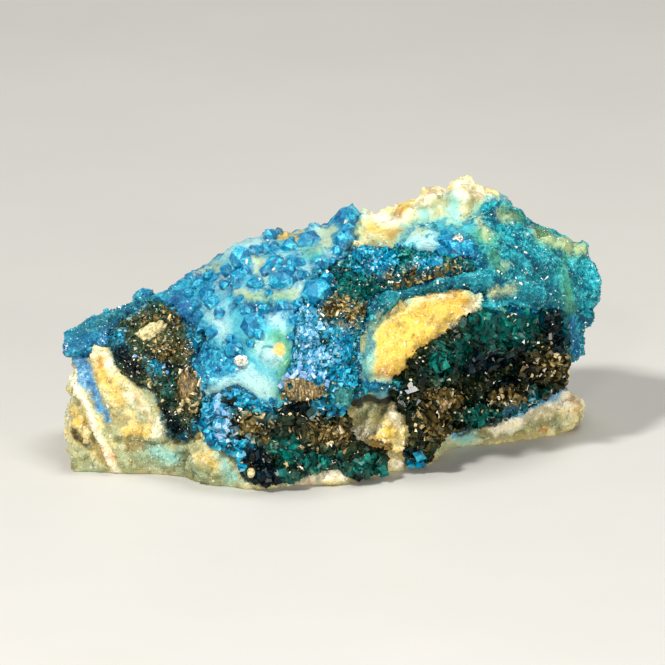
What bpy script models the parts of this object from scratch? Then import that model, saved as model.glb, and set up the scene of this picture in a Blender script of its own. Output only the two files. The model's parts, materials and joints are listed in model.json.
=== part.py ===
"""A rough veszelyite specimen, 60 mm long, resting on its flat underside.

A block of cream host rock carries two areas of turquoise crust and four druses of dark veszelyite
crystals on its display face. Shapes are worked out in millimetres, then scaled to metres.
X runs along the length, Y back from the front foot, Z up from the surface it rests on.
"""

import math
import random

import bmesh
import bpy
from mathutils import Matrix, Vector, noise

# Driving dimensions, mm
MIDDLE_DEPTH = 17.4  # half the depth, from the front foot to the frame's origin
GAP = 0.3  # clearance between a coat and the rock under it
COAT = 0.7  # mean thickness of crust and druse over that clearance
COAT_RELIEF = 0.5
ROCK_RELIEF = 1.2
GRAIN = 0.6  # fineness of the rock's first, unfaceted surface
ROCK_FACETS = 1700
COAT_FACETS = 2700
LOWEST_COAT = 0.6  # a coat ends this far above the surface under the specimen

# The display face is outlined as it is seen from this far above level.
SIGHT = math.radians(16)
UP = Vector((0, math.sin(SIGHT), math.cos(SIGHT)))
AWAY = Vector((0, math.cos(SIGHT), -math.sin(SIGHT)))
NEAR = -8  # in front of everything, mm along the sight from the foot
RAGGED = 3.0  # how unevenly a coat ends on the back of the crest

# Cross-sections of the rock: x, then (depth, height) from the front foot, over the crest, to the
# back foot. The feet run below the base plane, which is cut flat at height 0.
SECTIONS = (
    (-29.0, ((8.7, -2), (8.6, 2.5), (9.4, 5), (10.4, 7.2), (11.4, 9.2), (12.8, 10.8), (15, 12),
             (18.5, 12.3), (22, 11), (24, 7), (22.5, -2))),
    (-25.0, ((7.7, -2), (7.7, 3), (8.6, 6), (10, 8.8), (11.6, 10.8), (13.7, 12.4), (17, 13.3),
             (20, 13.1), (24.5, 11.9), (27, 7.5), (25.5, -2))),
    (-17.5, ((7.2, -2), (6.9, 3), (7.6, 6), (9, 9), (10.8, 11.8), (13, 14), (16.5, 15.8),
             (21, 16.7), (27, 15.1), (30, 9), (28.5, -2))),
    (-13.5, ((3.4, -2), (3.6, 3), (4.6, 6.5), (6.6, 10), (8.4, 13.2), (11, 16.1), (15.5, 18.2),
             (21, 18.9), (27.5, 17.2), (31, 10), (29.5, -2))),
    (-9.5, ((0.8, -2), (2.2, 2.4), (1.9, 6.5), (3.2, 10.4), (4.8, 14.2), (7.8, 17.6), (13.5, 20.3),
            (21, 21.5), (28, 19.2), (32, 11), (30.5, -2))),
    (-3.0, ((2.6, -2), (3.8, 3), (3.8, 7), (1.6, 11), (2.6, 14.0), (6, 18.0), (12.7, 21.3),
            (22, 22.5), (29, 20.4), (33, 12), (31.5, -2))),
    (3.5, ((6.0, -2), (6.8, 3), (8.4, 7.4), (5.0, 10.4), (4.7, 13.5), (8.6, 18.2), (15, 22),
           (24, 24.4), (31, 22), (34, 13), (32.5, -2))),
    (10.0, ((9.4, -2), (12.0, 3), (14.2, 6.4), (11.6, 11), (7.6, 14.8), (9.9, 19.6), (16, 23.5),
            (25, 26.8), (32, 23.8), (35, 13.5), (33.5, -2))),
    (12.5, ((17.0, -2), (17.6, 2.4), (20.4, 4.8), (15.5, 11.2), (8.8, 15.4), (10.2, 19.9),
            (16.4, 23.8), (25, 27.2), (32.2, 24), (35.2, 13.8), (33.8, -2))),
    (17.0, ((18.7, -2), (19.6, 3.2), (22.4, 5.5), (19.4, 11.5), (11, 15.8), (11, 19.7), (17, 23.5),
            (25.5, 26.8), (32.5, 24), (35.5, 14), (34.2, -2))),
    (20.0, ((20.2, -2), (21, 3.5), (24.2, 5.6), (22, 11), (14, 14.8), (13.6, 18.4), (18.8, 21.3),
            (26, 23.2), (32.5, 21), (35.2, 13), (34, -2))),
    (23.6, ((21.8, -2), (22.6, 3.8), (26, 5.6), (24.2, 10), (17.6, 13.6), (17.2, 17.4), (21, 19.7),
            (27, 20.9), (32.3, 19), (34.6, 12), (33.4, -2))),
    (25.3, ((23, -2), (23.6, 3.8), (27, 5.6), (25.6, 10), (20.4, 13.2), (20, 16.8), (22.8, 18.8),
            (27.4, 19.8), (32, 18), (33.8, 12), (32, -2))),
    (26.4, ((28, 12.4), (27, 12.5), (26, 12.8), (25, 13.2), (23.6, 13.9), (23.4, 16), (24.8, 17.6),
            (28, 18.5), (31, 17.2), (32, 15), (30.4, 12.6))),
    (27.9, ((28, 13.8), (27.4, 13.9), (26.8, 14.2), (26.2, 14.6), (25.8, 15.1), (25.9, 16.1),
            (26.6, 16.8), (28, 17.2), (29.8, 16.5), (30.4, 15.2), (29.4, 14))),
)

# Lumps that stand out of the rock: centre (x, depth, height) and half sizes.
LUMPS = (
    ((5.4, 7.6, 5.4), (3.5, 3.2, 2.7)),  # granular lump low in the middle
    ((-1.1, 4.6, 0.8), (3.6, 2.5, 1.5)),  # lip along the foot
    ((7.5, 9.4, 1.0), (1.3, 1.6, 2.0)),
    ((-13.3, 4.6, 2.6), (2.7, 2.8, 2.7)),  # lower left of the druse along the foot
    ((-28.3, 14.5, 4.6), (1.6, 6.5, 5.0)),  # left end
    ((26.3, 25.2, 2.3), (2.0, 2.2, 2.0)),  # right tip of the ledge
    ((24.9, 24.6, 11.0), (0.7, 1.2, 2.0)),  # tongue under the bulge
    ((8.3, 23.6, 25.6), (1.5, 1.8, 1.5)),  # knobs of the crest, left to right
    ((11.0, 24.8, 27.0), (1.4, 1.8, 1.4)),
    ((14.8, 25.0, 27.1), (2.0, 2.4, 1.7)),
    ((17.2, 25.4, 26.3), (1.6, 2.0, 1.6)),
    ((19.4, 25.0, 23.6), (1.0, 1.2, 1.0)),
    ((23.7, 26.0, 20.9), (1.5, 1.9, 1.4)),
    ((26.2, 27.0, 19.4), (1.3, 1.6, 1.2)),
    ((1.2, 22.4, 23.2), (1.2, 1.4, 1.2)),
    ((3.2, 23.6, 24.2), (1.2, 1.4, 1.2)),
)

# Areas of the display face as seen: x and height up the line of sight's screen, mm.
CRUST_LEFT_AREA = (
    (-30.2, 15.1), (-30.2, 19), (-27.2, 22), (-22.8, 24), (-18.9, 27), (-14.4, 29), (-11.1, 30.4),
    (-6.7, 31), (-1.1, 32.5), (1.9, 32.5), (2.6, 30.9), (1.9, 28.1), (0.9, 26.2), (-2.0, 24.7),
    (-3.1, 22.6), (-4.3, 20.3), (-4.6, 17.2), (-4.8, 14.6), (-5.6, 12.4), (-5.9, 11.4),
    (-5.6, 10.3), (-6.2, 9.1), (-7.7, 9.8), (-9.4, 10.9), (-11.1, 12.0), (-12.9, 11.0),
    (-14.1, 10.6), (-15.3, 12.2), (-15.7, 14.2), (-15.1, 16.0), (-14.0, 17.6), (-16.4, 19.1),
    (-18.1, 20.9), (-20.2, 21.7), (-22.5, 20.7), (-25.2, 18.2), (-25.4, 16.7), (-27.4, 16.7),
    (-27.9, 16.2), (-29.9, 15.1),
)
CRUST_RIGHT_AREA = (
    (7.4, 27.6), (7.6, 28.6), (8.9, 29.9), (11.7, 30.2), (13.7, 29.2), (15.7, 31.0), (17.4, 32.6),
    (20.6, 32.4), (25.0, 31), (29.4, 29), (32.2, 24), (32.2, 19.8), (30, 17.5), (27.8, 15.2),
    (26.6, 14.6), (26.2, 17.2), (26.0, 19.7), (24.6, 20.8), (22.3, 20.3), (19.6, 21.0),
    (17.1, 20.4), (17.0, 22.6), (16.2, 23.1), (13.2, 23.0), (10.3, 22.6), (6.9, 21.7), (5.4, 20.2),
    (3.8, 18.1), (3.9, 16.3), (3.0, 15.0), (3.0, 13.2), (4.3, 11.7), (6.3, 11.9), (7.6, 12.3),
    (7.2, 11.4), (4.8, 10.9), (2.4, 11.1), (2.7, 11.7), (2.7, 17.1), (3.4, 18.6), (3.8, 20.8),
    (4.7, 21.9), (6.9, 22.6), (10.3, 23.3), (12.0, 23.9), (15.8, 24.7), (15.8, 26.1), (12.3, 26.8),
    (9.6, 27.0),
)
LEFT_AREA = (
    (-24.8, 17.9), (-22.3, 20.2), (-20.2, 21.2), (-18.3, 20.4), (-16.8, 18.7), (-14.7, 17.6),
    (-15.7, 16.1), (-16.2, 14.2), (-16.0, 12.2), (-15.0, 10.8), (-15.1, 9.2), (-15.6, 7.0),
    (-16.4, 6.0), (-18.3, 6.3), (-19.1, 8.7), (-20.0, 11.6), (-22.6, 12.8), (-24.2, 14.4),
    (-24.9, 16.4),
)
CENTER_AREA = (
    (-3.9, 20.2), (-2.7, 22.3), (-1.6, 24.2), (1.2, 25.8), (3.0, 27.4), (6.8, 27.1), (9.4, 26.6),
    (12.2, 26.3), (15.3, 25.7), (15.3, 25.0), (11.9, 24.3), (10.2, 23.8), (6.8, 23.0), (4.3, 22.3),
    (3.3, 21.0), (3.0, 18.7), (2.2, 17.2), (2.2, 11.7), (1.8, 10.3), (1.2, 9.7), (-1.0, 10.1),
    (-1.3, 10.7), (-5.1, 10.3), (-5.4, 11.4), (-5.1, 12.3), (-4.3, 14.4), (-4.1, 17.2),
)
LOWER_AREA = (
    (-14.1, 10.0), (-12.8, 10.4), (-11.1, 11.4), (-9.4, 10.3), (-7.7, 9.2), (-6.1, 8.6),
    (-5.0, 9.9), (-1.3, 10.2), (1.1, 9.2), (1.4, 8.1), (1.9, 5.9), (3.9, 4.2), (5.6, 3.3),
    (5.2, 2.3), (2.6, 2.0), (0.6, 3.3), (-2.2, 2.6), (-4.3, 1.6), (-6.1, 1.4), (-8.1, 0.9),
    (-9.9, 1.7), (-10.2, 3.1), (-12.1, 5.1), (-14.2, 6.1), (-14.7, 7.6),
)
RIGHT_AREA = (
    (16.1, 20.1), (17.1, 20.0), (19.6, 20.6), (22.3, 19.9), (24.4, 20.3), (25.6, 19.3),
    (25.8, 17.2), (26.0, 15.2), (26.1, 12.6), (25.4, 12.0), (23.3, 10.7), (20.8, 9.2), (17.4, 7.8),
    (14.9, 7.3), (12.8, 7.0), (11.8, 6.0), (10.9, 4.6), (9.9, 3.0), (8.9, 2.8), (9.1, 5.8),
    (8.9, 8.8), (7.2, 9.9), (6.9, 10.6), (8.0, 12.1), (8.8, 14.8), (11.3, 16.4), (14.2, 18.8),
)


def collection(name):
    made = bpy.data.collections.new(name)
    bpy.context.scene.collection.children.link(made)
    return made


def finish(name, color, roughness):
    material = bpy.data.materials.new(name)
    material.use_nodes = True
    surface = material.node_tree.nodes["Principled BSDF"]
    surface.inputs["Base Color"].default_value = (*color, 1)
    surface.inputs["Roughness"].default_value = roughness
    surface.inputs["Metallic"].default_value = 0.0
    return material


def helper(name, bm):
    """A construction mesh, left out of the finished specimen."""
    mesh = bpy.data.meshes.new(name)
    bm.to_mesh(mesh)
    bm.free()
    made = bpy.data.objects.new(name, mesh)
    made.hide_render = True
    made.display_type = "WIRE"
    HELPERS.objects.link(made)
    return made


def settled(obj):
    """Bakes the object's modifiers into its mesh."""
    bpy.context.view_layer.update()
    mesh = bpy.data.meshes.new_from_object(obj.evaluated_get(bpy.context.evaluated_depsgraph_get()))
    obj.modifiers.clear()
    obj.data = mesh
    return obj


def copied(obj, name):
    made = obj.copy()
    made.data = obj.data.copy()
    made.name = name
    HELPERS.objects.link(made)
    return made


def combined(obj, other, operation, solver="EXACT"):
    modifier = obj.modifiers.new(operation, "BOOLEAN")
    modifier.object = other
    modifier.operation = operation
    modifier.solver = solver
    return settled(obj)


def regrained(obj, size):
    modifier = obj.modifiers.new("Grain", "REMESH")
    modifier.mode = "VOXEL"
    modifier.voxel_size = size
    return settled(obj)


def faceted(obj, faces):
    """Broken down to about this many triangles."""
    obj.data.calc_loop_triangles()
    modifier = obj.modifiers.new("Facets", "DECIMATE")
    modifier.ratio = faces / len(obj.data.loop_triangles)
    modifier.use_collapse_triangulate = True
    return settled(obj)


def pushed(obj, distance):
    """Moves each point along its normal by distance(point)."""
    bm = bmesh.new()
    bm.from_mesh(obj.data)
    bm.normal_update()
    moves = [v.normal * distance(v.co) for v in bm.verts]
    for vertex, move in zip(bm.verts, moves):
        vertex.co += move
    bm.to_mesh(obj.data)
    bm.free()
    return obj


def largest_body(obj):
    """Drops the crumbs that a cut leaves beside the main body."""
    bm = bmesh.new()
    bm.from_mesh(obj.data)
    bodies, seen = [], set()
    for start in bm.verts:
        if start in seen:
            continue
        body, front = {start}, [start]
        while front:
            for edge in front.pop().link_edges:
                for vertex in edge.verts:
                    if vertex not in body:
                        body.add(vertex)
                        front.append(vertex)
        seen |= body
        bodies.append(body)
    keep = max(bodies, key=len)
    bmesh.ops.delete(bm, geom=[v for v in bm.verts if v not in keep], context="VERTS")
    bm.to_mesh(obj.data)
    bm.free()
    return obj


def above(obj, height):
    """Cuts the object flat at this height and keeps what is over it."""
    bm = bmesh.new()
    bm.from_mesh(obj.data)
    cut = bmesh.ops.bisect_plane(
        bm, geom=bm.verts[:] + bm.edges[:] + bm.faces[:], plane_co=(0, 0, height),
        plane_no=(0, 0, 1), clear_inner=True,
    )
    rim = [item for item in cut["geom_cut"] if isinstance(item, bmesh.types.BMEdge)]
    bmesh.ops.holes_fill(bm, edges=rim, sides=0)
    bmesh.ops.triangulate(bm, faces=bm.faces[:])
    bmesh.ops.recalc_face_normals(bm, faces=bm.faces[:])
    bm.to_mesh(obj.data)
    bm.free()
    return obj


def rough_block():
    """The rock's cross-sections lofted along its length, with its lumps."""
    bm = bmesh.new()
    rings = [[bm.verts.new((x, *point)) for point in outline] for x, outline in SECTIONS]
    for near, far in zip(rings, rings[1:]):
        for i in range(len(near)):
            bm.faces.new((near[i - 1], near[i], far[i], far[i - 1]))
    bm.faces.new(rings[0])
    bm.faces.new(rings[-1])
    bmesh.ops.recalc_face_normals(bm, faces=bm.faces[:])
    for centre, half in LUMPS:
        place = Matrix.Translation(centre) @ Matrix.Diagonal((*half, 1))
        bmesh.ops.create_icosphere(bm, subdivisions=2, radius=1, matrix=place)
    return helper("block", bm)


def crag(point):
    """Broken, ridged relief of the host rock."""
    broad = noise.fractal(point / 6.5, 0.9, 2.1, 4)
    ridge = 1 - 2 * abs(noise.noise(point / 3.4 + Vector((7, 1, 4))))
    return ROCK_RELIEF * (0.75 * broad + 0.45 * (ridge - 0.4))


def coat_thickness(point):
    """Rounded, botryoidal relief of the coats."""
    return GAP + COAT + COAT_RELIEF * (1 - 2 * abs(noise.noise(point / 1.9)))


def area_prism(name, outline, far):
    """The space in front of and behind an outline on the display face, to about this far back."""
    bm = bmesh.new()
    ring = [bm.verts.new(Vector((x, 0, 0)) + up * UP + NEAR * AWAY) for x, up in outline]
    pulled = bmesh.ops.extrude_face_region(bm, geom=[bm.faces.new(ring)])["geom"]
    for item in pulled:
        if isinstance(item, bmesh.types.BMVert):
            item.co += (far - NEAR + RAGGED * noise.noise(item.co / 2.7)) * AWAY
    bmesh.ops.triangulate(bm, faces=bm.faces[:])
    bmesh.ops.recalc_face_normals(bm, faces=bm.faces[:])
    return helper(name, bm)


def inside(outline, x, up):
    """Whether a spot of the display face lies within an outline."""
    found = False
    for (x0, u0), (x1, u1) in zip(outline, outline[1:] + outline[:1]):
        if (u0 > up) != (u1 > up) and x < x0 + (up - u0) / (u1 - u0) * (x1 - x0):
            found = not found
    return found


def growth_spots(outline, spacing, far, facing, chance):
    """Seeded places on the coat within an outline, at least this far apart."""
    faces = [
        (face.center.copy(), face.normal.copy())
        for face in coat.data.polygons
        if face.normal.dot(AWAY) < -facing
        and face.center.dot(AWAY) < far
        and inside(outline, face.center.x, face.center.dot(UP))
    ]
    chance.shuffle(faces)
    spots = []
    for centre, normal in faces:
        if all((centre - other).length > spacing for other, _ in spots):
            spots.append((centre, normal))
    return spots


def add_crystal(bm, centre, normal, width, chance):
    """A blocky crystal: a four-sided prism that narrows to a slanted flat end."""
    tilt = Vector([chance.gauss(0, 0.35) for _ in range(3)])
    axis = (normal + tilt).normalized()
    length = width * chance.uniform(1.1, 1.6)
    place = Matrix.Translation(centre + axis * length * 0.2)
    turn = axis.to_track_quat("Z", "Y").to_matrix().to_4x4()
    spin = Matrix.Rotation(chance.uniform(0, math.tau), 4, "Z")
    shape = Matrix.Diagonal((width, width * chance.uniform(0.6, 0.95), length, 1))
    made = bmesh.ops.create_cube(bm, size=1)["verts"]
    for vertex in made:
        if vertex.co.z > 0:
            vertex.co.x = vertex.co.x * 0.55 + 0.08
            vertex.co.y *= 0.5
            vertex.co.z += 0.3 * vertex.co.x
    bmesh.ops.transform(bm, matrix=place @ turn @ spin @ shape, verts=made)


def add_bud(bm, centre, normal, width, chance):
    """A rounded bud of crust."""
    squash = Matrix.Diagonal((width / 2, width / 2 * chance.uniform(0.8, 1), width * 0.45, 1))
    turn = normal.to_track_quat("Z", "Y").to_matrix().to_4x4()
    place = Matrix.Translation(centre + normal * width * 0.12)
    bmesh.ops.create_icosphere(bm, subdivisions=1, radius=1, matrix=place @ turn @ squash)


def grown_over(name, add, outline, far, spacing, width, seed, facing=0.1):
    """A coat area with crystals or buds grown out of it, joined in one solid."""
    chance = random.Random(seed)
    body = copied(coat, name)
    for centre, normal in growth_spots(outline, spacing, far, facing, chance):
        bm = bmesh.new()
        add(bm, centre, normal, width * chance.uniform(0.75, 1.3), chance)
        combined(body, helper(name + "_growth", bm), "UNION")
    return coat_area(body, outline, far)


def coat_area(body, outline, far):
    """The part of a coat that lies in an outline, lifted clear of the rock."""
    # EXACT returns nothing for some of these cuts through a coat with many crystals.
    combined(body, area_prism(body.name + "_area", outline, far), "INTERSECT", "MANIFOLD")
    combined(body, clearance, "DIFFERENCE", "MANIFOLD")
    return largest_body(above(body, LOWEST_COAT))


def seated(obj, name, material):
    """The finished piece: named, coloured, in metres about the frame's origin."""
    to_frame = Matrix.Scale(0.001, 4) @ Matrix.Translation((0, -MIDDLE_DEPTH, 0))
    obj.data.transform(to_frame)
    obj.name = name
    obj.data.name = name
    obj.data.materials.clear()
    obj.data.materials.append(material)
    obj.hide_render = False
    obj.display_type = "TEXTURED"
    HELPERS.objects.unlink(obj)
    SPECIMEN.objects.link(obj)


for old in list(bpy.data.objects):
    bpy.data.objects.remove(old, do_unlink=True)
SPECIMEN = collection("veszelyite_specimen")
HELPERS = collection("cutters")

# The rock, broken to facets and cut flat underneath, and the surface that the coats keep clear of
grown = regrained(rough_block(), GRAIN)
rough = pushed(grown, crag)
rock = above(faceted(regrained(copied(rough, "rock"), GRAIN), ROCK_FACETS), 0.0)
clearance = pushed(faceted(regrained(copied(rough, "clearance"), GRAIN), ROCK_FACETS), lambda p: GAP)

# One coat all over the rock, from which each area is cut
coat = copied(rough, "coat")
coat = faceted(regrained(pushed(coat, coat_thickness), GRAIN), COAT_FACETS)

crust_left = grown_over("crust_left", add_bud, CRUST_LEFT_AREA, 21, 5.6, 2.4, 21, 0.4)
crust_right = grown_over("crust_right", add_bud, CRUST_RIGHT_AREA, 23, 5.6, 2.3, 22, 0.4)
left = grown_over("left", add_crystal, LEFT_AREA, 16, 2.5, 1.5, 11)
center = grown_over("center", add_crystal, CENTER_AREA, 18, 2.6, 1.6, 12)
lower = grown_over("lower", add_crystal, LOWER_AREA, 12, 2.5, 1.8, 13)
right = grown_over("right", add_crystal, RIGHT_AREA, 22, 3.5, 2.1, 15)

seated(rock, "matrix", finish("host_rock", (0.62, 0.50, 0.26), 0.75))
seated(crust_left, "turquoise_crust_left", finish("turquoise_left", (0.08, 0.42, 0.50), 0.35))
seated(crust_right, "turquoise_crust_right", finish("turquoise_right", (0.04, 0.36, 0.42), 0.35))
seated(left, "veszelyite_left", finish("dark_left", (0.010, 0.055, 0.060), 0.15))
seated(center, "veszelyite_center", finish("dark_center", (0.02, 0.09, 0.16), 0.15))
seated(lower, "veszelyite_lower", finish("dark_lower", (0.012, 0.05, 0.06), 0.15))
seated(right, "veszelyite_right", finish("dark_right", (0.008, 0.04, 0.045), 0.15))
for spare in list(HELPERS.objects):
    bpy.data.objects.remove(spare, do_unlink=True)
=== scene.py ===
"""The looks of a rough veszelyite specimen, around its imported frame."""

import json
import math

import bmesh
import bpy
import numpy as np
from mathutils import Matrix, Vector, noise
from mathutils.bvhtree import BVHTree
from mathutils.kdtree import KDTree

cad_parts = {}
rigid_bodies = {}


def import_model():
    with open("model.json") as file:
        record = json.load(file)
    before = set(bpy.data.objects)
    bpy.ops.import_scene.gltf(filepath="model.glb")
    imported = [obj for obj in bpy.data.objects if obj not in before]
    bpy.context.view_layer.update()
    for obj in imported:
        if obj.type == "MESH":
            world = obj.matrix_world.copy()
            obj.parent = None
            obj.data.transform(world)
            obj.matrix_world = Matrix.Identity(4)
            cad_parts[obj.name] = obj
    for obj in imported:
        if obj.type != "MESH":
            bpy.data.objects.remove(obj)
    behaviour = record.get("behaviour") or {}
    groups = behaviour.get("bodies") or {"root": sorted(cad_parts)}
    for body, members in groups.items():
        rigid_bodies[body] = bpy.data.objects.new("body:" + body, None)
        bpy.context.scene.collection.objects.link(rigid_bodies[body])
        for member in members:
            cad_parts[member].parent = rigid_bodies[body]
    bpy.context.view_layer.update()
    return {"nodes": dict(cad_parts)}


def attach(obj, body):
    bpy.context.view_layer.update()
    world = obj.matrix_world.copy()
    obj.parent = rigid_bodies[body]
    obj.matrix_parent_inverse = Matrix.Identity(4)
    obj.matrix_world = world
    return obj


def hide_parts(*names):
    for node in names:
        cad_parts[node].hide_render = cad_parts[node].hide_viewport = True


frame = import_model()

# Table, light and camera
# The specimen lies on a plain pale table under soft lamps, the strongest at its upper left. A long
# lens looks 16 degrees down on the display face.
SIGHT = math.radians(16)
UP = Vector((0, math.sin(SIGHT), math.cos(SIGHT)))
AWAY = Vector((0, math.cos(SIGHT), -math.sin(SIGHT)))
FOOT = 0.0174  # from the front foot to the frame's origin, m
VIEW_CENTER = Vector((-0.00028, -0.0054, 0.0151))
LENS_DISTANCE = 2.0
LENS = 974.0
NEAREST = 0.05  # the camera sees nothing nearer than this, m
LIT_SPOT = Vector((0, 0, 0.012))
SKY = (0.84, 0.87, 0.90, 1)
SKY_STRENGTH = 0.17
TABLE_REACH = 2.0
LAMPS = (  # name, place, size, watts, colour
    ("key_lamp", (-0.30, -0.34, 0.50), 0.07, 4.4, (1.0, 0.98, 0.95)),
    ("top_lamp", (0.10, 0.06, 0.55), 0.25, 1.5, (1.0, 0.99, 0.97)),
    ("right_lamp", (0.42, -0.32, 0.20), 0.05, 0.5, (1.0, 0.96, 0.88)),
    ("front_lamp", (-0.06, -0.62, 0.30), 0.05, 0.7, (1.0, 0.97, 0.92)),
    ("low_lamp", (0.24, -0.46, 0.10), 0.12, 1.2, (1.0, 0.97, 0.93)),
)


def aimed(obj, place, target):
    obj.location = place
    obj.rotation_euler = (target - Vector(place)).to_track_quat("-Z", "Y").to_euler()
    bpy.context.scene.collection.objects.link(obj)


bpy.context.scene.view_settings.view_transform = "Standard"
camera = bpy.data.objects.new("camera", bpy.data.cameras.new("camera"))
camera.data.lens = LENS
camera.data.clip_start = NEAREST
aimed(camera, VIEW_CENTER - LENS_DISTANCE * AWAY, VIEW_CENTER)
bpy.context.scene.camera = camera
for lamp, place, size, watts, color in LAMPS:
    light = bpy.data.lights.new(lamp, "AREA")
    light.size = size
    light.energy = watts
    light.color = color
    aimed(bpy.data.objects.new(lamp, light), place, LIT_SPOT)
world = bpy.data.worlds.new("studio")
world.use_nodes = True
world.node_tree.nodes["Background"].inputs["Color"].default_value = SKY
world.node_tree.nodes["Background"].inputs["Strength"].default_value = SKY_STRENGTH
bpy.context.scene.world = world

bm = bmesh.new()
bmesh.ops.create_grid(bm, x_segments=8, y_segments=8, size=TABLE_REACH)
table = bpy.data.objects.new("table", bpy.data.meshes.new("table"))
bm.to_mesh(table.data)
bm.free()
bpy.context.scene.collection.objects.link(table)


class Wire:
    """An output in a material or a geometry tree. Arithmetic on it adds Math nodes."""

    def __init__(self, tree, socket=None):
        self.tree = tree
        self.socket = socket

    def node(self, kind, settings, sockets, output=0):
        """A node with its settings made first, then its sockets set to values or linked."""
        made = self.tree.nodes.new(kind)
        for name, value in settings.items():
            if name == "stops":
                ramp = made.color_ramp.elements
                for place, color in value[1:-1]:
                    ramp.new(place).color = color
                ramp[0].position, ramp[0].color = value[0]
                ramp[len(ramp) - 1].position, ramp[len(ramp) - 1].color = value[-1]
            else:
                setattr(made, name, value)
        for name, value in sockets.items():
            if isinstance(value, Wire):
                self.tree.links.new(value.socket, made.inputs[name])
            else:
                made.inputs[name].default_value = value
        return Wire(self.tree, made.outputs[output])

    def math(self, operation, first, second):
        return self.node("ShaderNodeMath", {"operation": operation}, {0: first, 1: second})

    def __add__(self, other):
        return self.math("ADD", self, other)

    def __sub__(self, other):
        return self.math("SUBTRACT", self, other)

    def __rsub__(self, other):
        return self.math("SUBTRACT", other, self)

    def __mul__(self, other):
        return self.math("MULTIPLY", self, other)

    __radd__ = __add__
    __rmul__ = __mul__

    def step(self, low, high):
        """Rises smoothly from 0 at low to 1 at high."""
        return self.node("ShaderNodeMapRange", {"interpolation_type": "SMOOTHSTEP"},
                         {"Value": self, "From Min": low, "From Max": high})

    def blend(self, first, second):
        """The first colour, turning to the second as this value goes from 0 to 1."""
        first, second = (c if isinstance(c, Wire) else tint(*c) for c in (first, second))
        return self.node("ShaderNodeMix", {"data_type": "RGBA"}, {0: self, 6: first, 7: second}, 2)

    def ramp(self, *stops):
        """The colour that stops of a place, red, green and blue give this value."""
        stops = [(place, tint(*color)) for place, *color in stops]
        return self.node("ShaderNodeValToRGB", {"stops": stops}, {"Fac": self})

    def attribute(self, name):
        return self.node("ShaderNodeAttribute", {"attribute_name": name}, {}, "Fac")

    def millimetres(self):
        """The piece's own coordinates, in millimetres."""
        place = self.node("ShaderNodeTexCoord", {}, {}, "Object")
        return self.node("ShaderNodeVectorMath", {"operation": "SCALE"},
                         {0: place, "Scale": 1000.0})

    def grain(self, size, detail=4.0, roughness=0.6):
        """Noise from 0 to 1 over a vector, with grains of about this size."""
        return self.node("ShaderNodeTexNoise", {}, {
            "Vector": self, "Scale": 1 / size, "Detail": detail, "Roughness": roughness})

    def random(self, seed):
        """A random value from 0 to 1 for each point or face."""
        return self.node("FunctionNodeRandomValue", {"data_type": "FLOAT"},
                         {2: 0.0, 3: 1.0, "Seed": seed}, 1)

    def stored(self, name, domain, value):
        """This geometry, with a named value kept on each of its points or faces."""
        return self.node("GeometryNodeStoreNamedAttribute",
                         {"data_type": "FLOAT", "domain": domain},
                         {"Geometry": self, "Name": name, "Value": value})


def tint(red, green, blue):
    """A linear colour from the usual 0 to 255 values."""
    return tuple((c / 255) ** 2.2 for c in (red, green, blue)) + (1.0,)


def finish(name, roughness=0.5, **plain):
    """A new material: its tree's wire and its surface node, with plain values set on it."""
    material = bpy.data.materials.new(name)
    material.use_nodes = True
    surface = material.node_tree.nodes["Principled BSDF"]
    surface.inputs["Roughness"].default_value = roughness
    for socket, value in plain.items():
        surface.inputs[socket.replace("_", " ")].default_value = value
    return material, Wire(material.node_tree), surface


def plug(wire, surface, name):
    wire.tree.links.new(wire.socket, surface.inputs[name])


def roughen(surface, height, depth, strength=1.0):
    """Makes a surface look bumpy, by this height from 0 to 1 and this depth in m."""
    plug(height.node("ShaderNodeBump", {}, {"Strength": strength, "Distance": depth,
                                             "Height": height}), surface, "Normal")


material, w, surface = finish("table_top", 0.6)
mottle = w.millimetres().grain(40.0)
plug(mottle.blend((196, 194, 188), (206, 204, 199)), surface, "Base Color")
table.data.materials.append(material)

# Host rock
# The block that everything grew on: granular cream rock, broken rough and stained yellow and ochre,
# with white and blue veins at its left end. Coats cover most of its face and none of its back.
ROCK_VOXEL = 0.00030
ROCK_RISE = 0.30  # lifts the rock into the clearance under the coats, mm
FARTHEST = 2.0  # distances and reaches are measured up to this, mm
GRAIN_LEVEL = 0.6  # no grain grows lower than this, mm
PRISM_ROOT = -0.75  # how deep a crystal's foot is sunk, as a share of its size
POINT_ROOT = -0.3
DENSEST = 8e7  # crystals on a square metre, at most


def bake(obj):
    """Makes the object's modifiers its mesh and takes them off."""
    bpy.context.view_layer.update()
    made = bpy.data.meshes.new_from_object(obj.evaluated_get(bpy.context.evaluated_depsgraph_get()))
    obj.modifiers.clear()
    obj.data = made
    made.name = obj.name


def fine_copy(node, name, voxel, wear):
    """A closed copy of a solid with points a voxel apart and its facets rounded off."""
    bm = bmesh.new()
    bm.from_mesh(frame["nodes"][node].data)
    bmesh.ops.remove_doubles(bm, verts=bm.verts, dist=1e-6)
    made = bpy.data.objects.new(name, bpy.data.meshes.new(name))
    bm.to_mesh(made.data)
    bm.free()
    bpy.context.scene.collection.objects.link(made)
    grain = made.modifiers.new("Grain", "REMESH")
    grain.mode = "VOXEL"
    grain.voxel_size = voxel
    grain.use_smooth_shade = True
    smooth = made.modifiers.new("Wear", "SMOOTH")
    smooth.factor = 0.5
    smooth.iterations = wear
    bake(made)
    made.data.materials.clear()
    return made


def points(obj):
    """The object's points in millimetres."""
    co = np.empty(len(obj.data.vertices) * 3, np.float32)
    obj.data.vertices.foreach_get("co", co)
    return co.reshape(-1, 3).astype(float) * 1000


def normals(obj):
    out = np.empty(len(obj.data.vertices) * 3, np.float32)
    obj.data.vertex_normals.foreach_get("vector", out)
    return out.reshape(-1, 3).astype(float)


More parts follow.
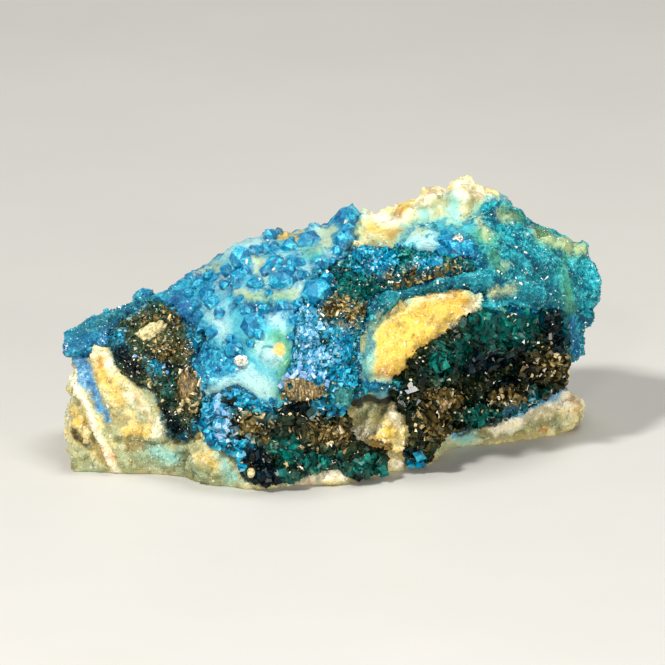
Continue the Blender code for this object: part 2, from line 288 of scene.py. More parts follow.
def place_points(obj, co):
    """Moves the object's points to these places in millimetres, none of them under the table."""
    co[:, 2] = np.maximum(co[:, 2], 0.0)
    obj.data.vertices.foreach_set("co", (co / 1000).astype(np.float32).ravel())
    obj.data.update()


def fractal(co, size, octaves=4, seed=0.0):
    """Noise of about -1 to 1 at each point, with forms of about this size in mm."""
    shift = Vector((seed, 2.3 * seed, -1.7 * seed))
    return np.array([noise.fractal(Vector(p) / size + shift, 0.8, 2.1, octaves) for p in co])


def billow(co, size, seed=0.0):
    """Rounded lumps of about this size: -0.6 in the creases between them, up to 0.8 on top."""
    shift = Vector((seed, -1.3 * seed, 2.9 * seed))
    return np.array([0.8 - 2 * min(0.7, noise.voronoi(Vector(p) / size + shift)[0][0]) for p in co])


def on_face(co):
    """Each point's place across and up the display face, as it is seen, in mm."""
    return co[:, 0], (co[:, 1] + 1000 * FOOT) * UP.y + co[:, 2] * UP.z


def reach(across, up, marks):
    """How far each spot lies inside the nearest mark, in mm, and less than 0 outside them all.
    A mark is how far it spreads, then places across and up the face that its path runs through."""
    best = np.full(len(across), -FARTHEST)
    for spread, *path in marks:
        path = np.array(path, float).reshape(-1, 2)
        for a, b in zip(path, path[1:] if len(path) > 1 else path):
            along = b - a
            share = ((across - a[0]) * along[0] + (up - a[1]) * along[1]) / max(along @ along, 1e-9)
            share = share.clip(0, 1)
            away = np.hypot(across - a[0] - share * along[0], up - a[1] - share * along[1])
            best = np.maximum(best, spread - away)
    return best


def store(obj, name, values):
    """Keeps a value for each of the object's points, over any older one of that name."""
    kept = obj.data.attributes.get(name) or obj.data.attributes.new(name, "FLOAT", "POINT")
    kept.data.foreach_set("value", values.astype(np.float32))


def read(obj, name):
    values = np.empty(len(obj.data.vertices), np.float32)
    obj.data.attributes[name].data.foreach_get("value", values)
    return values.astype(float)


def mark(obj, stains):
    """Stores each stain's reach on the object's points, its edges wandering as real stains' do.
    On slopes they wander more, and at the back there are none."""
    co = points(obj)
    across, up = on_face(co)
    turned = normals(obj) @ np.array(AWAY)
    tilt = np.clip(1 + turned / 0.4, 0, 1)  # 0 on the face that is seen, 1 where it turns away
    wander = 0.45 + 1.5 * tilt
    across = across + wander * fractal(co, 1.6, 3, 3.0)
    up = up + wander * fractal(co, 1.6, 3, 8.0)
    back = np.clip((turned - 0.25) / 0.35, 0, 1)
    for name, marks in stains.items():
        far = reach(across, up, marks) - 0.5 * tilt - FARTHEST * back
        store(obj, name, far.clip(-FARTHEST, FARTHEST))


def surface_of(mesh):
    """A mesh's surface in mm, to measure to."""
    return BVHTree.FromPolygons([v.co * 1000 for v in mesh.vertices],
                                [tuple(f.vertices) for f in mesh.polygons])


def nearness(co, *nodes):
    """How far each point is from the nearest of these solids, in mm."""
    solids = [surface_of(frame["nodes"][node].data) for node in nodes]
    far = []
    for p in co:
        found = [solid.find_nearest(p, FARTHEST)[3] for solid in solids]
        far.append(min([distance for distance in found if distance is not None], default=FARTHEST))
    return np.array(far)


def shown(piece, body_slot, *nodes):
    """Sets a finished piece to ride with the specimen, and hides the CAD nodes it may stand for."""
    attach(piece, "root")
    if nodes:
        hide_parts(*nodes)


ROCK_STAINS_AND_PAINTED_LIGHT = {  # for each stain or painted light its marks: see reach
    # Cream marks on the lump below the island and on the ledge: partly their pale colour, partly
    # painted light that lightens them.
    "cream": (
        (1.3, 5.9, 9.9, 8.1, 8.3, 8.6, 5.7), (0.78, 7.2, 4.6, 7.9, 3),
        (0.89, 23.7, 9.2, 27.9, 10.1), (0.44, 15, 5, 22.8, 5.2, 27.2, 7.2),
        (1.3, 15, 6.6, 20.1, 8.1, 23.9, 9.7, 27.4, 10.8), (1.2, 6.3, 8.1, 7.7, 6.6),
    ),
    "yellow": (
        (3, 5.9, 15.7, 10.3, 18.6), (1.7, 10.3, 19.4, 13.9, 21),
        (0.56, -26.3, 14.6, -25.2, 12, -23.7, 10.1), (0.56, -22.8, 7.2, -20.6, 6.6),
        (0.44, -26.1, 4.6, -25, 3.2), (0.44, -29, 7.2, -27.9, 5.7), (0.56, -28.6, 7.9, -29, 9),
        (0.44, 15, 33.9, 16.3, 33.2), (0.67, 7.7, 31.2, 8.6, 32.1), (0.56, 4.3, 29, 7.4, 29.2),
        (0.33, 15.4, 31, 16.8, 28.6), (0.89, 5, 5.9, 7, 7.7), (0.44, 7.2, 4.3, 7.9, 2.8),
        (0.56, 3.9, 5.2, 5.9, 5.1), (0.56, -5.7, 28.7, -4.6, 28.3), (0.33, -15, 25, -13.2, 25.2),
        (0.56, -18.9, 9.4, -18.1, 7.7), (0.44, -14.6, 3.9, -13.4, 3.2),
    ),
    "ochre": (
        (0.44, -26.2, 14.1), (0.33, -25.7, 4.6, -24.8, 3.9), (0.33, -27.9, 7.7),
        (0.44, 10.1, 22.2, 11, 22.3), (0.44, 12.6, 21.9, 13.4, 22.1), (0.44, 14.4, 21.2),
        (0.44, 5.3, 13.6, 6, 13.3), (0.56, 4.1, 5.1, 5.7, 5), (0.56, 23.4, 7),
        (0.44, 27, 9.3, 26.7, 10.1), (0.22, 10.4, 33.4, 11.8, 33.6), (0.33, 6.6, 29, 7.7, 29.1),
        (0.44, 7, 31, 7.4, 31.9), (0.33, -2.8, 1.4, -2.3, 0.6), (0.22, -22.8, 5.2, -21.7, 5.1),
        (0.17, -22.3, 10.6, -20.3, 7.7),
    ),
    "white": (
        (0.33, -29.9, 14.1, -29, 12, -27.8, 10.1, -26.7, 7.6, -25.2, 4.2, -24.2, 2.3),
        (0.67, 1.9, 31.2, 3.7, 31.1, 5.7, 30.1, 7.7, 30.4),
        # The next line's first mark runs along the ledge's top: partly its pale colour, partly
        # painted light on that top.
        (1, 18.3, 7.2, 21.7, 8.8, 25, 10.1, 27.7, 10.8), (0.56, 9.4, 32.6, 11.7, 33.7),
        (0.56, 15, 34.1, 17, 32.8), (0.33, 7.7, 30.1, 8.8, 31.7), (0.78, -4.3, 1, 1.9, 2.6),
        (0.39, 14.8, 20.3, 16.8, 22.4), (0.67, 6.6, 8.6, 7.4, 7.7), (0.67, 12.1, 33.7, 14.1, 33),
        (0.67, 2.8, 6.6, 4.1, 7), (0.56, 13.4, 33.9, 15, 34.6), (0.56, 7, 3.4, 7.7, 2.6),
        (0.56, -9.9, 27.9, -7.9, 28.1), (0.67, -29.7, 15.2, -29.2, 12.8),
        (0.33, 4.1, 12.1, 7.7, 13, 10.8, 15.9, 14.1, 19.2), (0.33, -27.4, 15.9, -26.6, 15),
    ),
    "green": (
        (1.7, -21.7, 4.6, -16.3, 3.2, -12.1, 1.4), (0.89, -24.1, 4.6, -23.2, 2.8),
        (0.56, -23, 10.3, -21, 9, -21.7, 7.7), (0.67, -20.8, 11.2, -19.4, 9, -19.7, 6.3),
        (0.67, 14.1, 6.1, 19.4, 7, 24.6, 7.9), (0.44, 11.4, 32.1, 11.2, 30.8),
        (0.67, 15.9, 32.1, 17, 31), (0.56, 10.6, 4.6, 15, 5.4),
        (0.78, 20.6, 30.1, 23.7, 28.3, 26.8, 27.3), (0.56, 3, 9, 5.7, 9.4),
        (0.67, 4.1, 27.4, 6.8, 27.7), (1, -29, 3.2, -26.1, 2.1), (0.67, -24.8, 7.2, -23.7, 5.4),
        (0.56, -28.8, 5.2, -27.2, 3.4), (1, -2.8, 28.1, -0.6, 28.6), (0.44, 4.6, 12.6, 6.3, 12.1),
        (0.67, 3.7, 14.6, 4.6, 12.3), (0.56, -18.8, 5.9, -15, 5), (0.44, -29.4, 11.4, -28.6, 9.2),
    ),
    "turquoise": (
        (0.89, 13, 32.8, 13.4, 29.7), (1, 9.9, 31, 10.6, 28.1), (0.78, 11.4, 29.7, 15, 29.4),
        (0.78, 7.7, 29, 8.6, 27.7), (0.78, 11.7, 7, 15.4, 6.3), (0.78, 3, 17.7, 3.4, 13),
        (0.89, 27.9, 26.8, 29.4, 22.6), (0.56, -20.6, 5.2, -17.7, 3.9),
        (0.78, 15.7, 30.6, 18.3, 29.7), (0.56, -12.6, 4.1, -11.4, 1.9),
    ),
    "blue": (
        (0.49, -28.1, 16.3, -27.6, 13.7, -26.6, 10.3, -25.3, 8.2),
        (0.78, -29.7, 15.7, -28.3, 14.3, -27.4, 12.1), (0.56, -30.1, 10.3, -29.9, 7.4),
        (0.44, 12.3, 6.8, 16.1, 7.7, 20.6, 9.1, 24.6, 10.6, 26.6, 11.7),
        (0.56, -29.9, 16.3, -27.9, 15.9), (0.33, -24.6, 16.3, -23.9, 15.7),
    ),
    # Dark marks, in part painted shade: the gap under the bare island and the ledge's seam with the
    # druse above it.
    "dark": (
        (0.28, -28.9, 7.2, -27.6, 5.1), (0.56, 1.7, 10.3, 6.1, 10.3),
        (0.28, 13.9, 6.6, 16.3, 7.4, 18.6, 8.1), (0.13, -20, 3.4), (0.11, -18.8, 2.8),
        (0.11, -20.8, 4.1), (0.11, -21.4, 5.2),
    ),
}

RIDGES = (  # veins that stand out of the rock and grooves in it: height in mm, then a mark
    (0.65, 0.4, -29.9, 13.7, -27.8, 10.1, -26.7, 7.6, -25.2, 4.2, -24.2, 2.1),
    (-0.45, 0.35, -30.3, 12.3, -28.3, 9.7, -27.2, 7, -25.8, 3.7),
    (-0.55, 0.6, -27.9, 15.9, -27.2, 13.1, -26.3, 10.1, -25.2, 8.1),
    (0.45, 0.6, -26.1, 15.7, -24.8, 13.4, -23, 11.9), (0.5, 0.8, -23.2, 10.6, -20.3, 9, -19.7, 6.3),
    (-0.6, 0.4, -24.1, 5.9, -20.8, 5.4, -17.7, 5.9), (-0.5, 0.5, -22.8, 5.9, -22.3, 2.1),
    (-0.5, 0.5, -16.6, 4.3, -16.1, 1.4), (-0.4, 0.5, 15, 6.8, 18.3, 5.9, 22.8, 6.3),
    (-1.1, 0.7, 20.7, 6.1, 21.2, 4.8), (-0.6, 0.4, 16.8, 5.2, 17.2, 3.7),
    (-0.6, 0.35, 25, 7, 25.4, 5.2), (-0.9, 0.7, 3.7, 5.4, 5.7, 4.8),
    (-0.6, 0.5, 5.2, 9.7, 4.1, 6.8), (-0.5, 0.6, 7.7, 9, 8.3, 5.9),
    (0.3, 0.5, 14.6, 21.9, 9.9, 21.4, 6.3, 19, 3.4, 15.9), (-0.6, 0.3, 10.3, 34.1, 11.7, 33),
)
CREST = ((2.4, 1.7, 31, 7.7, 30.8, 10.6, 32.6, 15, 33.4, 17.9, 30.8),)  # rounded knobs
ISLAND = ((2.7, 5.6, 15, 10.3, 19, 15, 21.2),)  # the bare rock in the middle of the face

rock = fine_copy("matrix", "host_rock_piece", ROCK_VOXEL, wear=4)
ROCK_FORM = surface_of(rock.data)
co, out = points(rock), normals(rock)
across, up = on_face(co)
facing = np.clip(-(out @ np.array(AWAY)) * 2, 0, 1)
rough = (0.40 * fractal(co, 3.4, 3, 1.0) + 0.34 * billow(co, 2.1, 6.0) + 0.34 * billow(co, 0.9, 2.0)
         + 0.14 * fractal(co, 0.45, 2, 9.0))
crest = np.clip((reach(across, up, CREST) + 1.0) / 1.5, 0, 1) * facing
rough = rough * (1 - 0.75 * crest) + crest * 0.62 * billow(co, 1.7, 4.0)
island = np.clip(reach(across, up, ISLAND) / 0.8, 0, 1) * facing
rough *= 1 - 0.35 * island
for height, spread, *path in RIDGES:
    rough += height * facing * np.clip(reach(across, up, ((spread, *path),)) / spread + 0.4, 0, 1)
CRUST_NODES = ("turquoise_crust_left", "turquoise_crust_right")
DRUSE_NODES = ("veszelyite_left", "veszelyite_center", "veszelyite_lower", "veszelyite_right")
coats = np.array([nearness(co, node) for node in CRUST_NODES + DRUSE_NODES])
seam = np.clip((1.0 - np.sort(coats, axis=0)[1]) / 0.4, 0, 1)  # where two coats meet
rise = ROCK_RISE + rough * (1 - 0.6 * seam) + 0.5 * seam
held = np.clip((co[:, 2] - 0.1) / 1.2, 0, 1)  # the cut underside stays flat
mark(rock, ROCK_STAINS_AND_PAINTED_LIGHT)
place_points(rock, co + out * (rise * held)[:, None])
store(rock, "relief", rough)
store(rock, "seam", seam)
store(rock, "crusted", coats[:2].min(axis=0))
store(rock, "drused", coats[2:].min(axis=0))
turned = normals(rock) @ np.array(AWAY)
store(rock, "backed", np.clip((turned + 0.05) / 0.3, 0, 1))
free = points(rock)
store(rock, "growth", np.clip(-turned * 2, 0, 1) * (free[:, 2] > GRAIN_LEVEL)
      * (1 - 0.85 * crest * (1 - seam)))

material, w, surface = finish("host_rock_finish", 0.55, Specular_IOR_Level=0.35)
mm = w.millimetres()
coarse, fine, speck = mm.grain(2.2, 5.0), mm.grain(0.6, 6.0, 0.75), mm.grain(0.18, 2.0)
each, facet = w.attribute("each"), w.attribute("facet")
color = (coarse * 0.45 + fine * 0.55).ramp(
    (0.34, 150, 152, 108), (0.43, 204, 200, 148), (0.50, 228, 220, 168),
    (0.57, 238, 214, 124), (0.64, 244, 238, 208))
STAIN_AND_PAINTED_LIGHT_COLORS = (  # name, colour, strength, softness and raggedness in mm
    # Cream, and white on the ledge's top, are partly painted light as well as the rock's colour.
    ("cream", (255, 232, 158), 0.9, 0.6, 1.4),
    ("green", (116, 148, 116), 0.75, 0.9, 2.4),
    ("yellow", (240, 194, 72), 0.88, 0.9, 2.0),
    ("white", (255, 246, 216), 0.95, 0.5, 1.2),
    ("turquoise", (132, 210, 206), 0.9, 0.9, 1.6),
    ("ochre", (190, 124, 34), 0.85, 0.6, 1.6),
)
for name, stain, strength, soft, ragged in STAIN_AND_PAINTED_LIGHT_COLORS:
    share = (w.attribute(name) + (fine - 0.5) * ragged * 1.5 + (speck - 0.5) * ragged * 0.3
             + (each - 0.5) * 0.2).step(-soft, soft) * strength
    color = share.blend(color, stain)
relief = w.attribute("relief") + (fine - 0.5) * 1.2
# Creases darken olive-brown, partly dirt and partly painted shade; the rises get a painted
# highlight.
color = (relief.step(-0.06, -0.50) * 0.6).blend(color, (116, 106, 52))
color = (relief.step(0.12, 0.60) * 0.65).blend(color, (255, 250, 224))
back = w.attribute("backed")
color = (back * mm.grain(5.0, 6.0, 0.7).step(0.54, 0.66) * 0.7).blend(color, (186, 140, 70))
color = (back * mm.grain(3.3, 6.0, 0.75).step(0.58, 0.66) * 0.6).blend(color, (96, 160, 152))
# Painted glints: grain facets with a high random value turn near white.
color = (facet.step(0.55, 0.85) * 0.4).blend(color, (255, 250, 230))
color = (facet.step(0.4, 0.1) * facet.step(0.0, 0.02) * 0.5).blend(color, (140, 120, 58))
# Dark specks where the two noises run low.
dark_speck = (speck * 0.5 + fine * 0.5).step(0.42, 0.33)
color = (dark_speck * 0.5).blend(color, (96, 84, 44))
# Colour of the coats soaks into the rock beside them
vein = (w.attribute("blue") + (fine - 0.5) * 2.0 + (speck - 0.5) * 0.5).step(-0.15, 0.2)
color = (vein * 0.9).blend(color, fine.ramp(
    (0.38, 8, 92, 152), (0.5, 40, 134, 190), (0.62, 150, 204, 222)))
soaked = (w.attribute("crusted") + (coarse - 0.5) * 3.0 + (fine - 0.5) * 2.4
          + (speck - 0.5) * 0.6)
color = (soaked.step(1.1, 0.45) * 0.6).blend(color, (112, 198, 182))
color = (soaked.step(0.5, 0.2) * 0.6).blend(color, (0, 124, 170))
soaked = w.attribute("drused") + (fine - 0.5) * 1.4 + (speck - 0.5) * 0.5
color = (soaked.step(0.62, 0.32) * 0.7).blend(color, (16, 124, 150))
color = (soaked.step(0.40, 0.2) * 0.9).blend(color, (4, 46, 54))
seam = (w.attribute("seam") + (fine - 0.5) * 0.8).step(0.1, 0.5)
color = seam.blend(color, (fine * 0.5 + facet * 0.3 + each * 0.2 + 0.05).ramp(
    (0.30, 0, 64, 84), (0.42, 0, 112, 150), (0.55, 20, 150, 192),
    (0.75, 110, 208, 224)))
# Painted shade, in part, where the dark marks lie: the gap under the bare island and the ledge's
# seam.
dark = (w.attribute("dark") + (fine - 0.5) * 0.8).step(-0.3, 0.3) * 0.95
color = dark.blend(color, (20, 32, 30))
plug(color, surface, "Base Color")
roughen(surface, fine * 0.7 + speck * 0.3, 0.0003)
rock.data.materials.append(material)
shown(rock, "host_rock", "matrix")
GROUNDS = [surface_of(rock.data)]  # what single crystals are set on


def hide(bm, hidden):
    """Adds a form to a hidden collection that instances are picked from."""
    obj = bpy.data.objects.new(hidden.name, bpy.data.meshes.new(hidden.name))
    bm.to_mesh(obj.data)
    bm.free()
    hidden.objects.link(obj)


def crystal_forms(name, forms):
    """Hidden crystals about one unit across, for a tree to size: prisms with a slanted roof."""
    hidden = bpy.data.collections.new(name)
    for width, depth, shoulder, ridge, ridge_length, slant in forms:
        bm = bmesh.new()
        corners = ((-1, -1), (1, -1), (1, 1), (-1, 1))
        low = [bm.verts.new((x * width / 2, y * depth / 2, PRISM_ROOT)) for x, y in corners]
        high = [bm.verts.new((x * width / 2, y * depth / 2, shoulder + slant * x))
                for x, y in corners]
        ends = [bm.verts.new((0.2 * slant * width, y * ridge_length * depth / 2, ridge))
                for y in (-1, 1)]
        bm.faces.new(low)
        for i in range(4):
            bm.faces.new((low[i], low[i - 1], high[i - 1], high[i]))
        bm.faces.new((high[0], high[1], ends[0]))
        bm.faces.new((high[2], high[3], ends[1]))
        bm.faces.new((high[1], high[2], ends[1], ends[0]))
        bm.faces.new((high[3], high[0], ends[0], ends[1]))
        bmesh.ops.recalc_face_normals(bm, faces=bm.faces[:])
        hide(bm, hidden)
    return hidden


def pointed_forms(name, forms):
    """Hidden sugar-like crystals about one unit across: low, leaning four-sided points."""
    hidden = bpy.data.collections.new(name)
    for width, depth, lean, tall in forms:
        bm = bmesh.new()
        ring = [bm.verts.new((x * width / 2, y * depth / 2, POINT_ROOT))
                for x, y in ((-1, -0.8), (0.9, -1), (1, 0.9), (-0.8, 1))]
        tip = bm.verts.new((lean, 0.4 * lean, tall))
        bm.faces.new(ring)
        for i in range(4):
            bm.faces.new((ring[i - 1], ring[i], tip))
        bmesh.ops.recalc_face_normals(bm, faces=bm.faces[:])
        hide(bm, hidden)
    return hidden


def new_tree(name, *inputs):
    """A geometry tree that sets forms on a ground: its wire, and what gives an input's wire."""
    tree = bpy.data.node_groups.new(name, "GeometryNodeTree")
    for label, kind in (("Ground", "Geometry"), ("Forms", "Collection"), ("Seed", "Int"),
                        ("Finish", "Material"), *inputs):
        tree.interface.new_socket(label, in_out="INPUT", socket_type="NodeSocket" + kind)
    tree.interface.new_socket("Grown", in_out="OUTPUT", socket_type="NodeSocketGeometry")
    w = Wire(tree)
    group = w.node("NodeGroupInput", {}, {}).socket.node
    return w, lambda label: Wire(tree, group.outputs[label])


def end_tree(w, given, spots, turn, size, facet_seed):
    """Ends a tree: a form on each spot, with a random value for each of its facets."""
    forms = w.node("GeometryNodeCollectionInfo", {}, {
        "Collection": given("Forms"), "Separate Children": True, "Reset Children": True})
    grown = w.node("GeometryNodeInstanceOnPoints", {}, {
        "Points": spots, "Instance": forms, "Pick Instance": True, "Rotation": turn, "Scale": size})
    grown = w.node("GeometryNodeRealizeInstances", {}, {"Geometry": grown})
    grown = grown.stored("facet", "FACE", w.random(given("Seed") + facet_seed))
    grown = w.node("GeometryNodeSetMaterial", {}, {"Geometry": grown, "Material": given("Finish")})
    w.tree.links.new(grown.socket, w.tree.nodes.new("NodeGroupOutput").inputs[0])
    return w.tree


def growth_tree(name):
    """Geometry nodes that grow crystals over a coat: they stand about upright on it, each with its
    own turn. Each carries the share that sets its size."""
    w, given = new_tree(name, *((label, "Float") for label in ("Spacing", "Least", "Most", "Lean")))
    density = w.node("GeometryNodeInputNamedAttribute", {"data_type": "FLOAT"}, {"Name": "growth"})
    spots = w.node("GeometryNodeDistributePointsOnFaces", {"distribute_method": "POISSON"}, {
        "Mesh": given("Ground"), "Distance Min": given("Spacing"), "Density Max": DENSEST,
        "Density Factor": density, "Seed": given("Seed")}, "Points")
    upright = Wire(w.tree, spots.socket.node.outputs["Rotation"])
    lean = given("Lean")
    low = w.node("ShaderNodeCombineXYZ", {}, {"X": 0.0 - lean, "Y": 0.0 - lean, "Z": 0.0})
    high = w.node("ShaderNodeCombineXYZ", {}, {"X": lean, "Y": lean, "Z": math.tau})
    turn = w.node("FunctionNodeRandomValue", {"data_type": "FLOAT_VECTOR"},
                  {0: low, 1: high, "Seed": given("Seed") + 1})
    turn = w.node("FunctionNodeEulerToRotation", {}, {0: turn})
    turn = w.node("FunctionNodeRotateRotation", {"rotation_space": "LOCAL"}, {0: upright, 1: turn})
    share = w.random(given("Seed") + 2)
    size = given("Least") + (given("Most") - given("Least")) * share * share * share
    return end_tree(w, given, spots.stored("each", "POINT", share), turn, size, facet_seed=4)


def grown(name, ground, tree, **values):
    """A plain mesh of what the tree grows over the ground with these inputs."""
    made = bpy.data.objects.new(name, ground)
    bpy.context.scene.collection.objects.link(made)
    modifier = made.modifiers.new("Growth", "NODES")
    modifier.node_group = tree
    for item in tree.interface.items_tree:
        if item.item_type == "SOCKET" and item.in_out == "INPUT" and item.name in values:
            modifier[item.identifier] = values[item.name]
    bake(made)
    return made


# Loose-looking grains that the broken rock ends in, on the faces that are seen
GRAINS = pointed_forms("grains", (
    (1.2, 1.0, 0.10, 0.30), (1.0, 1.3, -0.25, 0.24), (1.4, 1.1, 0.30, 0.20), (1.1, 0.8, -0.1, 0.36),
))
GROWTH = growth_tree("crystal_growth")
grains = grown("rock_grains", rock.data, GROWTH, Forms=GRAINS, Spacing=0.00028, Least=0.00022,
               Most=0.0006, Lean=0.5, Seed=41, Finish=material)
shown(grains, "host_rock")

# Turquoise crust
# A coat of turquoise to azure crystals a millimetre thick. It flows smooth and pale between the
# druses on the left, and is sugary over the bulge on the right. It thins out at its edges.
CRUST_VOXEL = 0.00021
THIN_EDGE = 1.3  # over this width the crust thins out, mm
RIM_HEIGHT = 0.62  # a solid coat is lower than this at its rim alone, mm
UNDER_ROCK = 0.15  # how deep the rim runs out, mm
UNDERSIDE = -0.3  # where the underside lies, mm
MEETING = 1.3  # a coat stays thick this near to the next one, mm
SUGAR_LEVEL = 0.9  # no crystal of the crust grows lower than this, mm


def lay(obj, thin_edge, *others):
    """Beds a coat on the rock: its rim runs out under the surface, but for where it meets one of
    the others, and its underside sinks in. Stores how freely crystals grow: 0 underneath and at
    the very rim, 1 out on the coat."""
    co, out = points(obj), normals(obj)
    near = nearness(co, *others)
    found = [ROCK_FORM.find_nearest(p)[:2] for p in map(Vector, co)]
    foot = np.array([f[0] for f in found])
    way = np.array([f[1] for f in found])
    height = ((co - foot) * way).sum(1)
    facing = (out * way).sum(1)
    rim = KDTree(len(co))
    for index in np.flatnonzero((height < RIM_HEIGHT) & (facing > -0.3)):
        rim.insert(co[index], int(index))
    rim.balance()
    away = np.array([rim.find(p)[2] for p in co])
    share = np.clip(away / thin_edge, 0, 1)
    share = np.maximum(share * share * (3 - 2 * share), np.clip((MEETING - near) / 0.6, 0, 0.85))
    under = facing < -0.2
    new = np.where(under, UNDERSIDE, -UNDER_ROCK + (height + UNDER_ROCK) * share)
    place_points(obj, foot + way * new[:, None] + (co - foot - way * height[:, None]))
    store(obj, "growth", np.where(under, 0.0, np.clip(share * 2.5 - 0.2, 0, 1)))


AZURE = (  # rounded clusters of azure crystals: place across and up the face, width, mm
    (-10.6, 26.1, 2.3), (-7.1, 28.6, 1.7), (-5.1, 27.4, 1.6), (-2.8, 28.2, 2), (-6.7, 25.6, 1.7),
    (-5.8, 23.7, 2.8), (-8.8, 23.3, 1.8), (-10.9, 24, 1.7), (-14.2, 22.1, 1.6), (-13.4, 21.1, 1.7),
    (-12.9, 20, 1.2), (-2, 22.3, 2.8), (-8.9, 27, 1.3), (-9.2, 18.6, 2), (-8.6, 19.4, 1.6),
    (-10.9, 11.1, 1.3), (-11.4, 15.9, 1.9), (-7.7, 27.2, 1.3), (-3.9, 25.7, 1.2),
    (-12.1, 24.8, 1.3), (-9.9, 24.6, 1.3), (-3.6, 24.2, 1.2), (-4.8, 25.7, 1.3), (1.2, 29.4, 1.6),
    (0.6, 28.1, 1.7), (0.2, 26.9, 1.3), (1.6, 30.7, 1.2), (-10, 20.3, 1.1), (-7.9, 20.4, 1.1),
    (-5.8, 20.8, 1.3), (-4.2, 21, 1.1), (-14.1, 24.2, 1.1), (-15.4, 23.2, 1.3), (-1.4, 25.4, 1.3),
    (-1, 23.8, 1.4), (12.3, 28.1, 1.7), (13.4, 26.9, 1.8), (14.8, 27.4, 1.4), (11.8, 26.6, 1.4),
    (-7.7, 24.6, 1.2), (-5, 24.8, 1.2), (-0.1, 25.7, 1.1), (-16.3, 22.1, 1.1), (-6.9, 27, 1.2),
    (-12.3, 23.2, 1), (-10.6, 21.4, 1), (-7.4, 22.3, 0.89), (-13.7, 17.9, 1.3), (-11.7, 17.2, 1),
    (-8.6, 17.7, 1.1), (-9.4, 16.6, 0.89), (11.2, 25.7, 1.3), (-4.6, 19.2, 0.89),
    (-4.8, 17.3, 0.78), (-4.3, 15.7, 0.89), (-4.7, 13.6, 0.78), (-8.1, 9.9, 0.89), (-9.8, 10.6, 1),
    (-11.8, 10.7, 1), (-13.3, 9.8, 1), (-14.4, 11.9, 0.78), (-14.7, 14.6, 0.89),
    (-14.3, 16.4, 0.78), (-14.9, 18.1, 0.89), (-10.8, 9.9, 0.89), (-7, 10.3, 0.67),
    (-14, 13.4, 0.67), (-15.2, 19.7, 0.89),
)
